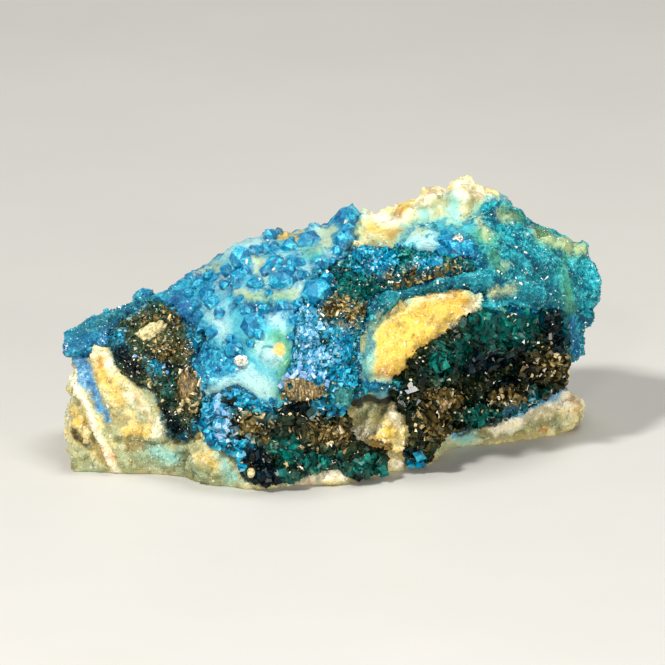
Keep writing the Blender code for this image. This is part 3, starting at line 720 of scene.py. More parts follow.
CRUST_STAINS = {  # marks, as on the rock
    "pale": (
        (1.4, -13.4, 21.4, -13.2, 18.1, -11.4, 19), (1.7, -13.4, 10.7, -10.6, 11.7, -6.6, 11.4),
        (1.1, -10.6, 18.1, -5.4, 18.6), (1.1, -4.3, 27, -4.1, 22.8), (1, -12.6, 25.4, -10.1, 27.7),
        (1.8, -8.1, 16.8, -8.1, 13), (1, -10.1, 12.6, -8.1, 9.9), (0.78, -3.2, 28.1, -0.6, 28.8),
        (1.1, -9.2, 28.1, -5.7, 25.7, -9.4, 22.6), (1.2, 7.7, 28.6, 11.2, 28.1),
        (0.89, 12.1, 30.1, 15, 29.7), (1.6, -11.4, 25.7, -8.1, 27.4, -3.9, 27.4, -0.1, 28.3),
        (1.3, -9.4, 23, -3.9, 22.8, -0.6, 24.8), (0.44, 2.1, 31.9, 3.2, 31.2),
    ),
    "milky": (
        (0.56, -12.6, 23, -11.9, 25), (1, -13.4, 20.8, -12.6, 18.1),
        (1.2, -13.7, 10.6, -11, 11.7, -8.1, 11.9), (0.67, -10.1, 13.2, -8.1, 10.8),
        (1, -7.9, 15.9, -6.8, 15.2), (0.56, -8.8, 26.3, -8.1, 24.1), (0.89, -9.9, 27.8, -7.7, 27.8),
        (0.44, -4.1, 26.3, -3.9, 21.9), (1, 8.1, 29, 10.6, 28.1), (0.89, -9.2, 27, -8.1, 24.3),
        (0.78, -5, 25.7, -3.9, 21.9), (0.78, -1.4, 29, 0.1, 26.3), (0.67, -12.1, 26.6, -11.2, 27.4),
        (0.44, -11.4, 25.2, -9.4, 27.4, -8.1, 27.4), (0.44, -8.1, 25.2, -5, 26.6, -3.4, 25),
        (0.33, -10.1, 22.3, -7.2, 24.3, -4.3, 22.3), (0.44, -7.2, 19.4, -5.7, 19),
        (0.56, -9.4, 13.4, -7.4, 11.2),
    ),
    "green": (
        (1.3, -6.1, 17.4, -5, 13.4), (0.44, -10.2, 21.7, -4.8, 21.9), (0.56, -3.9, 27, -0.1, 27.7),
        (0.67, -8.1, 11.7, -6.1, 10.8), (0.78, 16.1, 28.8, 17.2, 28.3),
        (0.44, 25.7, 25.7, 26.3, 20.3), (0.67, 22.8, 28.6, 27.7, 27), (0.28, 17.4, 26.8, 18.3, 25),
        (0.56, 19.2, 31.2, 20.6, 30.6), (0.67, -9.2, 17, -8.1, 16.3),
    ),
    "cream": (
        (0.56, -8.8, 26.3, -7.9, 24.1), (0.44, -10.6, 21.9, -4.8, 22.4),
        (0.56, -3.9, 28.3, -0.1, 29), (0.56, 0.7, 25.7, 1.4, 24.8), (1, 3, 17.4, 3.7, 13.9),
        (0.67, 3, 17.2, 5, 17.7), (0.33, 17, 22.2, 19.7, 22.6), (0.33, -15.4, 24.8, -13, 25.3),
        (0.28, -2.8, 27.3, 0.1, 28), (0.44, -7.2, 28.9, -4.3, 28.4), (0.33, 5.9, 20.1, 4.1, 18.1),
        (0.5, 25, 28, 27.7, 27), (0.44, 21.9, 29.1, 24.1, 28.1), (0.44, 18.6, 31, 19.7, 30.7),
        (0.33, 15.4, 31.2, 17, 28.6), (0.22, 19, 25.3), (0.44, 7.7, 29.7, 9.4, 29.4),
    ),
    "yellow": ((0.56, -6.3, 15.8), (0.56, -6.6, 28.9, -4.1, 28.3)),
    "deep": (
        (1.1, -17.7, 21.4, -16.1, 18.6), (0.56, -10.9, 20.9, -8.1, 20.2, -5.7, 20.6, -3.9, 21),
        (0.56, -29.9, 16.3, -26.1, 16.8), (1, 12.3, 28.1, 14.8, 26.3), (0.56, 0.6, 28.1, 1.2, 29.7),
        (0.78, 26.3, 18.6, 26.8, 15.7), (0.56, 3.2, 13.9, 4.1, 12.1),
    ),
    "teal": (
        (1, -29, 17.7, -25, 19.4, -20.6, 21.2), (1.1, 23, 25, 24.6, 22.1),
        (0.89, 16.3, 23, 21.7, 21.9, 24.6, 20.8), (0.56, 5.4, 21.2, 10.3, 23, 15.9, 23.7),
        (0.89, -1.9, 26.1, -0.1, 24.3), (0.67, 20.1, 25.7, 21.7, 23.7),
        (0.56, 17.7, 25.7, 19.7, 23.2), (0.44, 5, 11.4, 7.7, 11.7), (0.28, -5.4, 17.2, -4.8, 12.6),
    ),
}
KNOBS = (  # smooth rounded knobs on the bulge and the crest: how far each spreads, its place
    (0.78, 22.1, 29), (0.89, 23.7, 28.3), (0.89, 25.7, 27.8), (0.78, 27.4, 26.9),
    (0.56, 20.6, 29.6), (0.67, 19.2, 30.8), (0.67, 28.6, 25), (0.67, 26.7, 25.7), (0.67, 13, 29.7),
    (0.56, 14.6, 30.1), (0.56, 25, 26.1), (0.67, 16.7, 29.2),
)
SUGAR_AREAS = (  # where fine crystals cover the left crust
    (2.9, -29.9, 16.4, -25, 18.7, -19.4, 21.4), (2.4, -17.2, 22.6, -15.4, 18.1, -13.7, 13.7),
    (0.67, -10.6, 20.8, -3.9, 21), (1, -12.2, 16.4, -10.6, 14.8),
)


def crust_finish(name, body, bright, deep, gloss):
    """Waxy turquoise: paler flows, cream valleys, azure clusters, painted shade and sparkle."""
    material, w, surface = finish(name, 0.25, IOR=1.5, Specular_IOR_Level=0.1 + 0.5 * gloss,
                                  Coat_Weight=gloss, Coat_Roughness=0.07)
    mm = w.millimetres()
    coarse, fine, speck = mm.grain(2.4, 5.0), mm.grain(0.6, 6.0, 0.75), mm.grain(0.17, 2.0)
    each, facet, relief = w.attribute("each"), w.attribute("facet"), w.attribute("relief")
    color = (coarse * 0.75 + fine * 0.5 + each * 0.1 - 0.17).ramp(
        (0.38, *deep), (0.46, *body), (0.53, *bright), (0.62, 80, 200, 212))
    for stain, shade, strength, soft, ragged in (
        ("teal", (0, 84, 92), 0.85, 1.1, 2.0),
        ("deep", (0, 84, 144), 0.85, 1.0, 2.0),
        ("pale", (84, 192, 206), 0.9, 1.1, 1.6),
        ("green", (92, 166, 110), 0.8, 1.1, 1.6),
        ("milky", (186, 224, 220), 0.85, 0.9, 2.2),
        ("cream", (190, 198, 142), 0.85, 0.7, 1.8),
        ("yellow", (228, 184, 74), 0.95, 0.4, 1.0),
    ):
        share = w.attribute(stain) + (fine - 0.5) * ragged + (speck - 0.5) * 0.4
        color = (share.step(-soft, soft) * strength).blend(color, shade)
    lump = mm.grain(0.8, 4.0, 0.7).ramp(
        (0.34, 0, 76, 112), (0.46, 0, 116, 160), (0.56, 16, 150, 188),
        (0.70, 110, 208, 222))
    azure = (w.attribute("azure") + (fine - 0.5) * 1.8).step(-0.4, 0.35)
    color = (azure * 0.92).blend(color, lump)
    near = w.attribute("drused") + (fine - 0.5) * 2.0
    color = (near.step(0.7, 0.2) * 0.4).blend(color, (0, 104, 150))
    uneven = (relief * 0.6 + (fine - 0.5) * 2.4 + (speck - 0.5) * 0.9) * (
        1 - w.attribute("flow") * 0.5)
    # Painted shade where the relief and its noise run low, and a painted highlight where they run
    # high.
    color = (uneven.step(0.0, -0.32) * 0.6).blend(color, (0, 82, 116))
    color = (uneven.step(0.06, 0.36) * 0.3).blend(color, (110, 220, 226))
    color = (facet.step(0.45, 0.05) * facet.step(0.0, 0.02) * 0.4).blend(color, (0, 64, 88))
    # Painted highlights: facets with high random values turn pale cyan, the highest near white as
    # glints, and pale specks add painted sparkle.
    color = (facet.step(0.74, 0.96) * 0.3).blend(color, (100, 206, 222))
    color = facet.step(0.97, 0.975).blend(color, (244, 250, 248))
    color = (speck.step(0.60, 0.74) * 0.2).blend(color, (170, 228, 236))
    plug(color, surface, "Base Color")
    plug(0.34 - azure * 0.22, surface, "Roughness")
    roughen(surface, fine * 0.4 + speck * 0.6, 0.00028)
    return material


def iron(obj, where, times):
    """Evens out the surface where the coat flowed."""
    bm = bmesh.new()
    bm.from_mesh(obj.data)
    bm.verts.ensure_lookup_table()
    flat = [bm.verts[index] for index in np.flatnonzero(where)]
    for _ in range(times):
        bmesh.ops.smooth_vert(bm, verts=flat, factor=0.5, use_axis_x=True, use_axis_y=True,
                              use_axis_z=True)
    bm.to_mesh(obj.data)
    bm.free()


SUGAR = pointed_forms("sugar", (
    (1.1, 1.0, 0.10, 0.30), (0.9, 1.0, -0.20, 0.36), (1.3, 1.0, 0.25, 0.22), (1.0, 0.8, 0.0, 0.42),
))


def nugget_forms(name, seeds):
    """Hidden rounded crystals about one unit across, with some thirty flat facets each."""
    hidden = bpy.data.collections.new(name)
    corners = 18
    golden_turn = 2.4  # from each corner to the next, which spreads them evenly
    for seed in seeds:
        bm = bmesh.new()
        for along in range(corners):
            high = 1 - (along + 0.5) / (corners / 2)
            turn = golden_turn * along + 0.5 * noise.noise(Vector((seed, along, 0.5)))
            wide = math.sqrt(1 - high * high)
            far = 0.5 + 0.2 * noise.noise(Vector((along, seed, 3.5)))
            bm.verts.new((far * wide * math.cos(turn), far * wide * math.sin(turn),
                          0.8 * far * high))
        bmesh.ops.convex_hull(bm, input=bm.verts[:])
        hide(bm, hidden)
    return hidden


NUGGETS = nugget_forms("nuggets", (1.0, 4.0, 7.0, 9.0, 13.0))
for side, body, bright, deep, gloss, spacing, seed in (
    ("left", (0, 130, 178), (26, 168, 200), (0, 84, 138), 0.4, 0.00022, 31),
    ("right", (0, 120, 134), (0, 160, 170), (0, 70, 90), 0.1, 0.00023, 32),
):
    crust = fine_copy("turquoise_crust_" + side, "crust_" + side, CRUST_VOXEL, wear=6)
    lay(crust, THIN_EDGE, *DRUSE_NODES)
    mark(crust, {**CRUST_STAINS, "azure": [(0.5 * width, *spot) for *spot, width in AZURE]})
    azure = read(crust, "azure")
    smooth = np.maximum.reduce([read(crust, name) for name in ("pale", "green", "cream", "milky")])
    iron(crust, (smooth > 0.1) & (read(crust, "growth") > 0.6), times=60)
    co, out = points(crust), normals(crust)
    store(crust, "drused", nearness(co, *DRUSE_NODES))
    across, up = on_face(co)
    flow = np.clip(smooth + 0.5, 0, 1)
    store(crust, "flow", flow)
    freely = read(crust, "growth")
    if side == "left":
        sugar = np.clip(reach(across, up, SUGAR_AREAS) + 0.4, 0, 1) * np.clip(0.5 - smooth, 0.05, 1)
        sugar = np.where(out @ np.array(AWAY) > 0.3, 0.6, sugar)
    else:
        sugar = np.clip(0.6 - smooth, 0.25, 1)
    lumps = (0.28 * fractal(co, 1.5, 2, 2.0) + 0.17 * billow(co, 0.9, 7.0)) * (1 - 0.7 * flow)
    store(crust, "relief", lumps)
    knobs = reach(across, up, KNOBS)
    dome = 0.45 * np.sqrt(np.clip(np.maximum(azure, knobs), 0, 1.3)) * np.clip(freely * 2, 0, 1)
    place_points(crust, co + out * (lumps + dome)[:, None])
    look = crust_finish("turquoise_" + side + "_finish", body, bright, deep, gloss)
    crust.data.materials.append(look)
    high = points(crust)[:, 2] > SUGAR_LEVEL
    for name, forms, where, distance, least, most, lean in (
        ("sugar_", SUGAR, sugar, spacing, 0.00022, 0.0005, 0.5),
        ("azure_", NUGGETS, np.clip(azure * 2, 0, 1), 0.00065, 0.0005, 0.0012, 0.7),
    ):
        store(crust, "growth", freely * where * high)
        crystals = grown(name + side, crust.data, GROWTH, Forms=forms, Spacing=distance, Seed=seed,
                         Least=least, Most=most, Lean=lean, Finish=look)
        shown(crystals, "turquoise_" + side)
    shown(crust, "turquoise_" + side, "turquoise_crust_" + side)
    GROUNDS.append(surface_of(crust.data))

# Druses
# Four druses of dark veszelyite: blocky crystals with flat, glossy faces, blue-green to almost
# black, grown side by side on a thin base.
DRUSE_VOXEL = 0.00030
DRUSE_EDGE = 0.9  # over this width a base thins out, mm
BLOCK_LEVEL = 1.0  # no crystal of a druse grows lower than this, mm
BLOCKS = crystal_forms("blocks", (
    (1.0, 0.8, 0.16, 0.42, 0.6, 0.12),
    (1.1, 0.7, 0.30, 0.34, 0.9, 0.25),
    (0.8, 1.0, 0.05, 0.45, 0.2, -0.1),
    (1.2, 0.5, 0.22, 0.50, 0.7, 0.2),
    (0.9, 0.9, 0.32, 0.40, 0.8, -0.25),
    (1.3, 0.3, 0.30, 0.55, 0.8, 0.1),
    (1.0, 0.22, 0.35, 0.60, 0.9, 0.1),
))


def druse_finish(name, dark):
    """Glossy dark crystals, each facet of its own tone; a few small ones have painted glints."""
    material, w, surface = finish(name, 0.2, IOR=1.5, Specular_IOR_Level=0.2)
    mm = w.millimetres()
    each, facet = w.attribute("each"), w.attribute("facet")
    cloud = mm.grain(1.2, 5.0, 0.7)
    plain = facet.step(0.01, 0.0)  # the base between the crystals has no facets
    tone = facet * 0.55 + plain * 0.3 + (cloud - 0.5) * 1.3 + (each - 0.5) * 0.12 + 0.20
    # Painted glints: the facets with the highest values, more of them where the gold marks lie and
    # fewer on large crystals.
    painted_glint = facet + (w.attribute("gold") + 1.0).step(0.0, 2.0) * 0.04 - each.step(0.6, 0.9) * 0.08
    color = tone.ramp(*dark)
    for stain, stops, mix, soft in (
        ("teal", ((0.20, 0, 36, 34), (0.45, 0, 70, 64), (0.7, 4, 104, 96),
                  (0.92, 50, 146, 126)), 1.2, 0.9),
        ("blue", ((0.15, 0, 60, 92), (0.4, 0, 106, 144), (0.62, 10, 150, 184),
                  (0.82, 90, 196, 214), (0.95, 190, 226, 240)), 1.6, 0.8),
        ("lavender", ((0.15, 6, 92, 124), (0.4, 34, 134, 168),
                      (0.62, 104, 172, 206), (0.85, 188, 214, 236)), 2.0, 0.7),
        ("brown", ((0.2, 24, 22, 10), (0.42, 60, 54, 28), (0.66, 118, 100, 56),
                   (0.88, 214, 188, 128)), 2.2, 0.9),
        # Black: crystals that are black, and painted shade in caves, pockets and recesses.
        ("black", ((0.2, 0, 6, 8), (0.6, 2, 20, 26), (0.9, 4, 52, 62)), 0.5, 0.6),
    ):
        share = (w.attribute(stain) + (each - 0.5) * mix + (cloud - 0.5) * 1.8).step(-soft, soft)
        color = share.blend(color, tone.ramp(*stops))
    near = w.attribute("crusted") + (cloud - 0.5) * 2.6 + (each - 0.5) * 0.8
    color = (near.step(0.8, 0.1) * 0.45).blend(color, tone.ramp(
        (0.2, 0, 70, 96), (0.5, 0, 118, 150), (0.8, 40, 168, 190)))
    # Painted glints: pale gold on these facets, near white on the very highest.
    color = painted_glint.step(0.958, 0.964).blend(color, (206, 184, 128))
    color = painted_glint.step(0.987, 0.993).blend(color, (255, 248, 230))
    plug(color, surface, "Base Color")
    return material


NIGHT = ((0.16, 4, 10, 6), (0.38, 18, 28, 20), (0.54, 46, 52, 32),
         (0.66, 16, 58, 50), (0.80, 78, 76, 44), (0.94, 126, 110, 64))
EARTH = ((0.16, 12, 18, 12), (0.34, 38, 50, 36), (0.50, 68, 80, 54),
         (0.64, 26, 76, 74), (0.78, 110, 110, 70), (0.94, 166, 150, 98))
SEA = ((0.16, 0, 24, 28), (0.38, 0, 54, 60), (0.56, 8, 92, 98),
       (0.74, 36, 124, 120), (0.92, 112, 140, 100))
MOSS = ((0.16, 2, 8, 4), (0.40, 8, 20, 12), (0.58, 16, 42, 30),
        (0.76, 46, 48, 24), (0.92, 96, 86, 46))
DRUSES = (  # side, spacing, least and most size in m, seed, dark tones, stains and painted light
    ("left", 0.00021, 0.00024, 0.0006, 11, EARTH, {
        "gold": ((2.9, -20.6, 15.9, -16.6, 15.9), (1.8, -17.2, 8.6)),
        "brown": (
            (0.67, -16.4, 12.6, -15.8, 10.1), (0.56, -20.6, 19.4, -17.7, 19.4),
            (0.44, -19.4, 16.3, -17.2, 15.7),
        ),
        "blue": (
            (0.56, -20.1, 14.2), (0.33, -24.3, 17.2, -23.9, 15.9),
            (0.33, -14.6, 7.7, -15.4, 5.9, -18.8, 5.7), (0.56, -22.6, 20.8, -20.8, 21.8),
            (0.56, -15.2, 18.1, -14.7, 13.4),
        ),
        "teal": ((1.3, -21.7, 21.4, -18.8, 19.9), (0.89, -18.1, 13.4, -17.7, 11.2)),
        "black": (
            (0.78, -23.9, 15.7, -22.3, 13.9), (0.78, -19, 9.2, -17.4, 7),
            (0.56, -18.6, 14.1, -16.8, 13.7),
        ),
        "smooth": ((0.89, -21.7, 17.4, -19.4, 18.3), (0.67, -16.4, 12.3, -15.9, 10.1)),
    }),
    ("center", 0.00023, 0.00026, 0.0007, 12, SEA, {
        "lavender": ((1.2, -3.2, 19, -2.6, 13.9), (0.67, -0.6, 15.7)),
        "blue": (
            (1.3, 0.8, 18.1, 0.8, 11.2), (1.4, -2.6, 16.4, -2.3, 12.1), (1.3, 3.2, 26.3, 5.2, 25.7),
            (1.6, -2, 22.3), (0.56, 9.4, 25, 10.3, 25.2),
        ),
        "brown": ((0.89, -0.1, 20.6, 1.9, 19.9), (0.33, 6.3, 23.2, 13.9, 24.1)),
        "gold": ((1.6, -1, 20.1, 1.7, 19.4), (1.1, 5, 24.8, 14.3, 25.2)),
        "teal": (
            (1, 7.2, 26.1, 12.8, 25.7), (0.89, -0.6, 10.8, 1.4, 10.3), (0.78, 1.2, 22.6, 7.2, 23.2),
            (0.67, 0.1, 17.7, 1.7, 15.7),
        ),
        "smooth": ((0.89, -4.8, 11.7, -1.9, 11.2), (0.89, -0.6, 11.4, 1.2, 10.8)),
    }),
    ("lower", 0.00034, 0.0004, 0.0012, 13, NIGHT, {
        "blue": (
            (1.7, -13.9, 9, -13.4, 6.1), (0.89, -11, 2.8), (0.56, -1.7, 9.9, 1.1, 9.9),
            (0.78, -10.6, 10.8, -8.1, 9.9), (0.67, -10.1, 5.2, -11.4, 4.1),
        ),
        "lavender": ((0.33, -12.7, 9.4, -12.1, 6.3),),
        "gold": ((1.8, -10.6, 8.1, -8.1, 7), (2, -5, 8.7, 0, 7.6)),
        "brown": ((0.56, -9.9, 7.9, -8.1, 6.8), (0.67, -1.7, 6.8, 1, 7)),
        "teal": (
            (0.67, -5.7, 4.1, 0.1, 3.4), (0.78, 3, 2.8, 5.4, 2.6), (0.67, -7.2, 2.6, -5, 1.4),
            (0.78, -9.9, 9, -7.2, 5.9), (0.44, -7.2, 5.4, -3.9, 5.2),
        ),
        # Black here is in part painted shade: the cave at the lower left and the pocket under the
        # island.
        "black": (
            (1.4, -8.6, 3.7, -7.7, 2.1), (0.67, 3, 10.6, 6.3, 10.3), (0.78, -6.1, 9.4, -3.9, 9.9),
            (0.67, 1.9, 9.2, 2.3, 7),
        ),
        "smooth": ((0.89, -9, 3.4),),
    }),
    ("right", 0.00034, 0.00038, 0.00115, 15, MOSS, {
        "teal": (
            (1.9, 16.6, 18.6, 21, 18.3), (0.89, 11.2, 13.9, 13.9, 15.9),
            (0.56, 14.6, 8.3, 18.3, 9, 23.2, 10.6), (0.89, 16.3, 19.9, 22.3, 19.7),
            (0.89, 25.9, 18.6, 26.6, 15.7),
        ),
        "blue": (
            (0.56, 26.8, 19, 27.1, 16.3), (0.11, 19, 9.4, 22.3, 10.3), (0.33, 9, 3.4, 7.7, 2.6),
        ),
        "gold": ((1.8, 10.6, 10.3, 13, 10.1), (2.2, 17.9, 11.2, 24.6, 14.1)),
        # Black here is in part painted shade: the recess and the hollow under the bulge.
        "black": (
            (1, 24.1, 20.1, 24.6, 16.6), (0.78, 14.8, 14.1, 20.6, 15.7),
            (0.44, 18.3, 12.1, 22.8, 13),
        ),
        "brown": (
            (0.67, 10.8, 10.6, 12.8, 9.9), (0.78, 22.8, 14.1, 25, 13.9),
            (0.33, 18.3, 10.1, 20.6, 10.8), (0.44, 10.1, 7.7, 11.7, 7),
        ),
        "smooth": ((2, 16.6, 19, 21, 18.6),),
    }),
)
DRUSE_STAINS_AND_PAINTED_LIGHT = ("gold", "brown", "black", "blue", "lavender", "teal", "smooth")
for side, spacing, least, most, seed, dark, stains in DRUSES:
    base = fine_copy("veszelyite_" + side, "druse_" + side, DRUSE_VOXEL, wear=2)
    others = [node for node in DRUSE_NODES if node != "veszelyite_" + side]
    lay(base, DRUSE_EDGE, *CRUST_NODES, *others)
    mark(base, {name: stains.get(name, ()) for name in DRUSE_STAINS_AND_PAINTED_LIGHT})
    store(base, "crusted", nearness(points(base), *CRUST_NODES))
    growth = read(base, "growth") * (points(base)[:, 2] > BLOCK_LEVEL)
    growth *= np.clip(0.4 - read(base, "smooth"), 0.3, 1)
    store(base, "growth", growth)
    look = druse_finish("veszelyite_" + side + "_finish", dark)
    base.data.materials.append(look)
    shown(base, "dark_" + side, "veszelyite_" + side)
    crystals = grown("crystals_" + side, base.data, GROWTH, Forms=BLOCKS, Spacing=spacing,
                     Least=least, Most=most, Lean=0.8, Seed=seed, Finish=look)
    shown(crystals, "dark_" + side)
    GROUNDS.append(surface_of(base.data))

# Single crystals
# Crystals and lumps that stand out from the druses, one by one: a fluted brown slab, golden-brown
# striated lumps, a round clear-white crystal, and small facets painted bright cream as glints.
SIGHT_START = 60  # how far in front of the face the line of sight to a spot starts, mm


def seat(spot):
    """Where a spot of the display face lies on the specimen, in mm, and the way out of it."""
    start = Vector((spot[0], -1000 * FOOT, 0)) + spot[1] * UP - SIGHT_START * AWAY
    hits = [hit for hit in (ground.ray_cast(start, AWAY) for ground in GROUNDS) if hit[0]]
    place, out, _, _ = min(hits, key=lambda hit: hit[3])
    return place, out


def placing_tree(name):
    """Geometry nodes that set a form on each point of a mesh, upright along its normal."""
    w, given = new_tree(name)

    def named(label, kind):
        return w.node("GeometryNodeInputNamedAttribute", {"data_type": kind}, {"Name": label})

    turn = w.node("FunctionNodeAlignRotationToVector", {"axis": "Z"}, {
        "Vector": named("outward", "FLOAT_VECTOR")})
    spin = w.node("FunctionNodeRandomValue", {"data_type": "FLOAT_VECTOR"}, {
        0: (-0.3, -0.3, 0.0), 1: (0.3, 0.3, math.tau), "Seed": given("Seed")})
    spin = w.node("FunctionNodeEulerToRotation", {}, {0: spin})
    turn = w.node("FunctionNodeRotateRotation", {"rotation_space": "LOCAL"}, {0: turn, 1: spin})
    spots = given("Ground").stored("each", "POINT", w.random(given("Seed") + 1))
    return end_tree(w, given, spots, turn, named("width", "FLOAT"), facet_seed=2)


def spots_on_face(name, spots, lift):
    """A mesh of points on these spots of the display face, lifted by a share of their width."""
    mesh = bpy.data.meshes.new(name)
    seats = [(*seat(spot), width) for *spot, width in spots]
    mesh.from_pydata([(place + out * width * lift) / 1000 for place, out, width in seats], [], [])
    mesh.attributes.new("outward", "FLOAT_VECTOR", "POINT").data.foreach_set(
        "vector", [c for _, out, _ in seats for c in out])
    mesh.attributes.new("width", "FLOAT", "POINT").data.foreach_set(
        "value", [width / 1000 for _, _, width in seats])
    return mesh


PLACING = placing_tree("placing")
SHARDS = crystal_forms("shards", (
    (0.35, 1.0, 0.10, 0.24, 0.8, 0.05),
    (0.28, 0.8, 0.14, 0.20, 0.5, -0.05),
    (0.50, 0.9, 0.05, 0.26, 0.6, 0.10),
))


def lump(name, spot, size, square=0.0, turn=0.0, grooves=(0.0, 0.3), rough=0.08, cuts=13, out=0.1,
         seed=0.0):
    """A closed lump seated on the face. Its size is across, up and deep in mm. Square takes it from
    an egg to a block, turn tilts it by degrees, grooves of a depth and pitch in mm run up it, and
    out is how far in mm its middle stands out."""
    bm = bmesh.new()
    bmesh.ops.create_cube(bm, size=2.0)
    bmesh.ops.subdivide_edges(bm, edges=bm.edges[:], cuts=cuts, use_grid_fill=True)
    middle = seat(spot)[0] - AWAY * out
    tilt = math.radians(turn)
    right = Vector((math.cos(tilt), 0, 0)) + UP * math.sin(tilt)
    upward = UP * math.cos(tilt) - Vector((math.sin(tilt), 0, 0))
    for vertex in bm.verts:
        form = vertex.co.normalized().lerp(vertex.co * 0.88, square)
        a, b, c = (axis * side / 2 for axis, side in zip(form, size))
        flute = noise.noise(Vector((a / grooves[1], b / (6 * grooves[1]), seed)))
        place = Vector((a, b, c)) * 2.2 + Vector((seed, 0, 0))
        swell = 1 + rough * noise.fractal(place, 0.8, 2.1, 3)
        c += grooves[0] * flute * (c > 0)
        b += 1.5 * grooves[0] * flute * abs(form.y)
        vertex.co = (middle + (right * a + upward * b - AWAY * c) * swell) / 1000
    mesh = bpy.data.meshes.new(name)
    bm.to_mesh(mesh)
    bm.free()
    for face in mesh.polygons:
        face.use_smooth = cuts > 5
    made = bpy.data.objects.new(name, mesh)
    bpy.context.scene.collection.objects.link(made)
    return made


def lump_finish(name, stops, roughness=0.35, streak=(1.0, 1.0, 1.0), **plain):
    """Mottled colour that may run in streaks along one way."""
    material, w, surface = finish(name, roughness, **plain)
    mm = w.millimetres()
    run = w.node("ShaderNodeVectorMath", {"operation": "MULTIPLY"}, {0: mm, 1: streak})
    mottle, fine = run.grain(0.5, 6.0, 0.75), mm.grain(0.25, 3.0)
    color = (mottle * 0.75 + fine * 0.25 + w.attribute("facet") * 0.3).ramp(*stops)
    plug(color, surface, "Base Color")
    roughen(surface, mottle, 0.00015, 0.9)
    return material


BRONZE = lump_finish("bronze_finish", (
    (0.38, 28, 26, 14), (0.47, 84, 72, 40), (0.54, 142, 118, 72),
    (0.64, 222, 198, 146)), 0.25, (2.4, 0.5, 0.5))
HONEY = lump_finish("honey_finish", (
    (0.38, 44, 34, 14), (0.46, 126, 100, 52), (0.54, 208, 178, 116),
    (0.62, 255, 244, 216)), 0.2, (2.0, 1.0, 1.0))
NUB = lump_finish("nub_finish", (
    (0.34, 110, 104, 66), (0.46, 186, 174, 122), (0.58, 224, 212, 160),
    (0.70, 246, 232, 180)), 0.5)
FLAP = lump_finish("flap_finish", (
    (0.34, 0, 52, 52), (0.46, 12, 98, 96), (0.58, 40, 136, 130),
    (0.72, 120, 170, 140)), 0.3)
PEARL = lump_finish("pearl_finish", (
    (0.38, 84, 92, 84), (0.47, 170, 168, 150), (0.57, 248, 246, 238)), 0.08)
CLEAR = lump_finish("clear_finish", ((0.4, 150, 220, 206), (0.6, 214, 244, 232)), 0.04,
                    Transmission_Weight=1.0, IOR=1.56)
for name, look, slot, spot, size, shape in (
    ("brown_slab", BRONZE, "dark_center", (-3.4, 11.6), (4.2, 2.7, 1.8),
     dict(square=0.4, turn=3, grooves=(0.16, 0.2), seed=1.0, rough=0.3, out=-0.35)),
    ("golden_lump", BRONZE, "dark_left", (-16.1, 11.3), (2.4, 4, 1.8),
     dict(turn=18, grooves=(0.2, 0.18), seed=5.0, rough=0.3, out=-0.3)),
    ("teal_flap", FLAP, "dark_center", (0.3, 11.0), (3.3, 3, 1.5),
     dict(square=0.3, turn=-6, grooves=(0.2, 0.3), seed=9.0, rough=0.35, out=-0.35)),
    ("golden_bow", HONEY, "dark_right", (12.4, 10.4), (1.4, 2.1, 1.2),
     dict(square=0.2, turn=-28, grooves=(0.5, 0.16), seed=2.0, rough=0.3, out=0.75)),
    ("golden_fan", HONEY, "dark_right", (11.6, 9.9), (1.3, 1.8, 1.1),
     dict(square=0.2, turn=24, grooves=(0.5, 0.16), seed=8.0, rough=0.3, out=0.65)),
    ("cream_nub", NUB, "dark_left", (-20.2, 17.9), (4, 1.9, 2.0),
     dict(turn=24, rough=0.35, seed=4.0, out=-0.25)),
    ("brown_stone", NUB, "dark_lower", (-9.3, 2.3), (0.89, 1.2, 0.9), dict(cuts=4, seed=6.0)),
    ("round_crystal", PEARL, "turquoise_left", (-10.4, 14.7), (1.6, 1.4, 1.3),
     dict(cuts=2, rough=0.25, seed=7.0, out=0.35)),
    ("bright_crystal", PEARL, "turquoise_right", (13.7, 28.2), (1.3, 1.1, 1.0),
     dict(cuts=1, rough=0.3, seed=3.0, square=0.5, turn=30, out=0.3)),
    ("clear_crystal", CLEAR, "turquoise_right", (22.9, 29.1), (1.9, 1.4, 1.3),
     dict(cuts=1, rough=0.3, seed=11.0, square=0.6, turn=-20, out=0.4)),
    ("cream_grain", NUB, "turquoise_right", (17.7, 22.3), (0.5, 0.44, 0.5), dict(cuts=2)),
):
    made = lump(name, spot, size, **shape)
    made.data.materials.append(look)
    shown(made, slot)

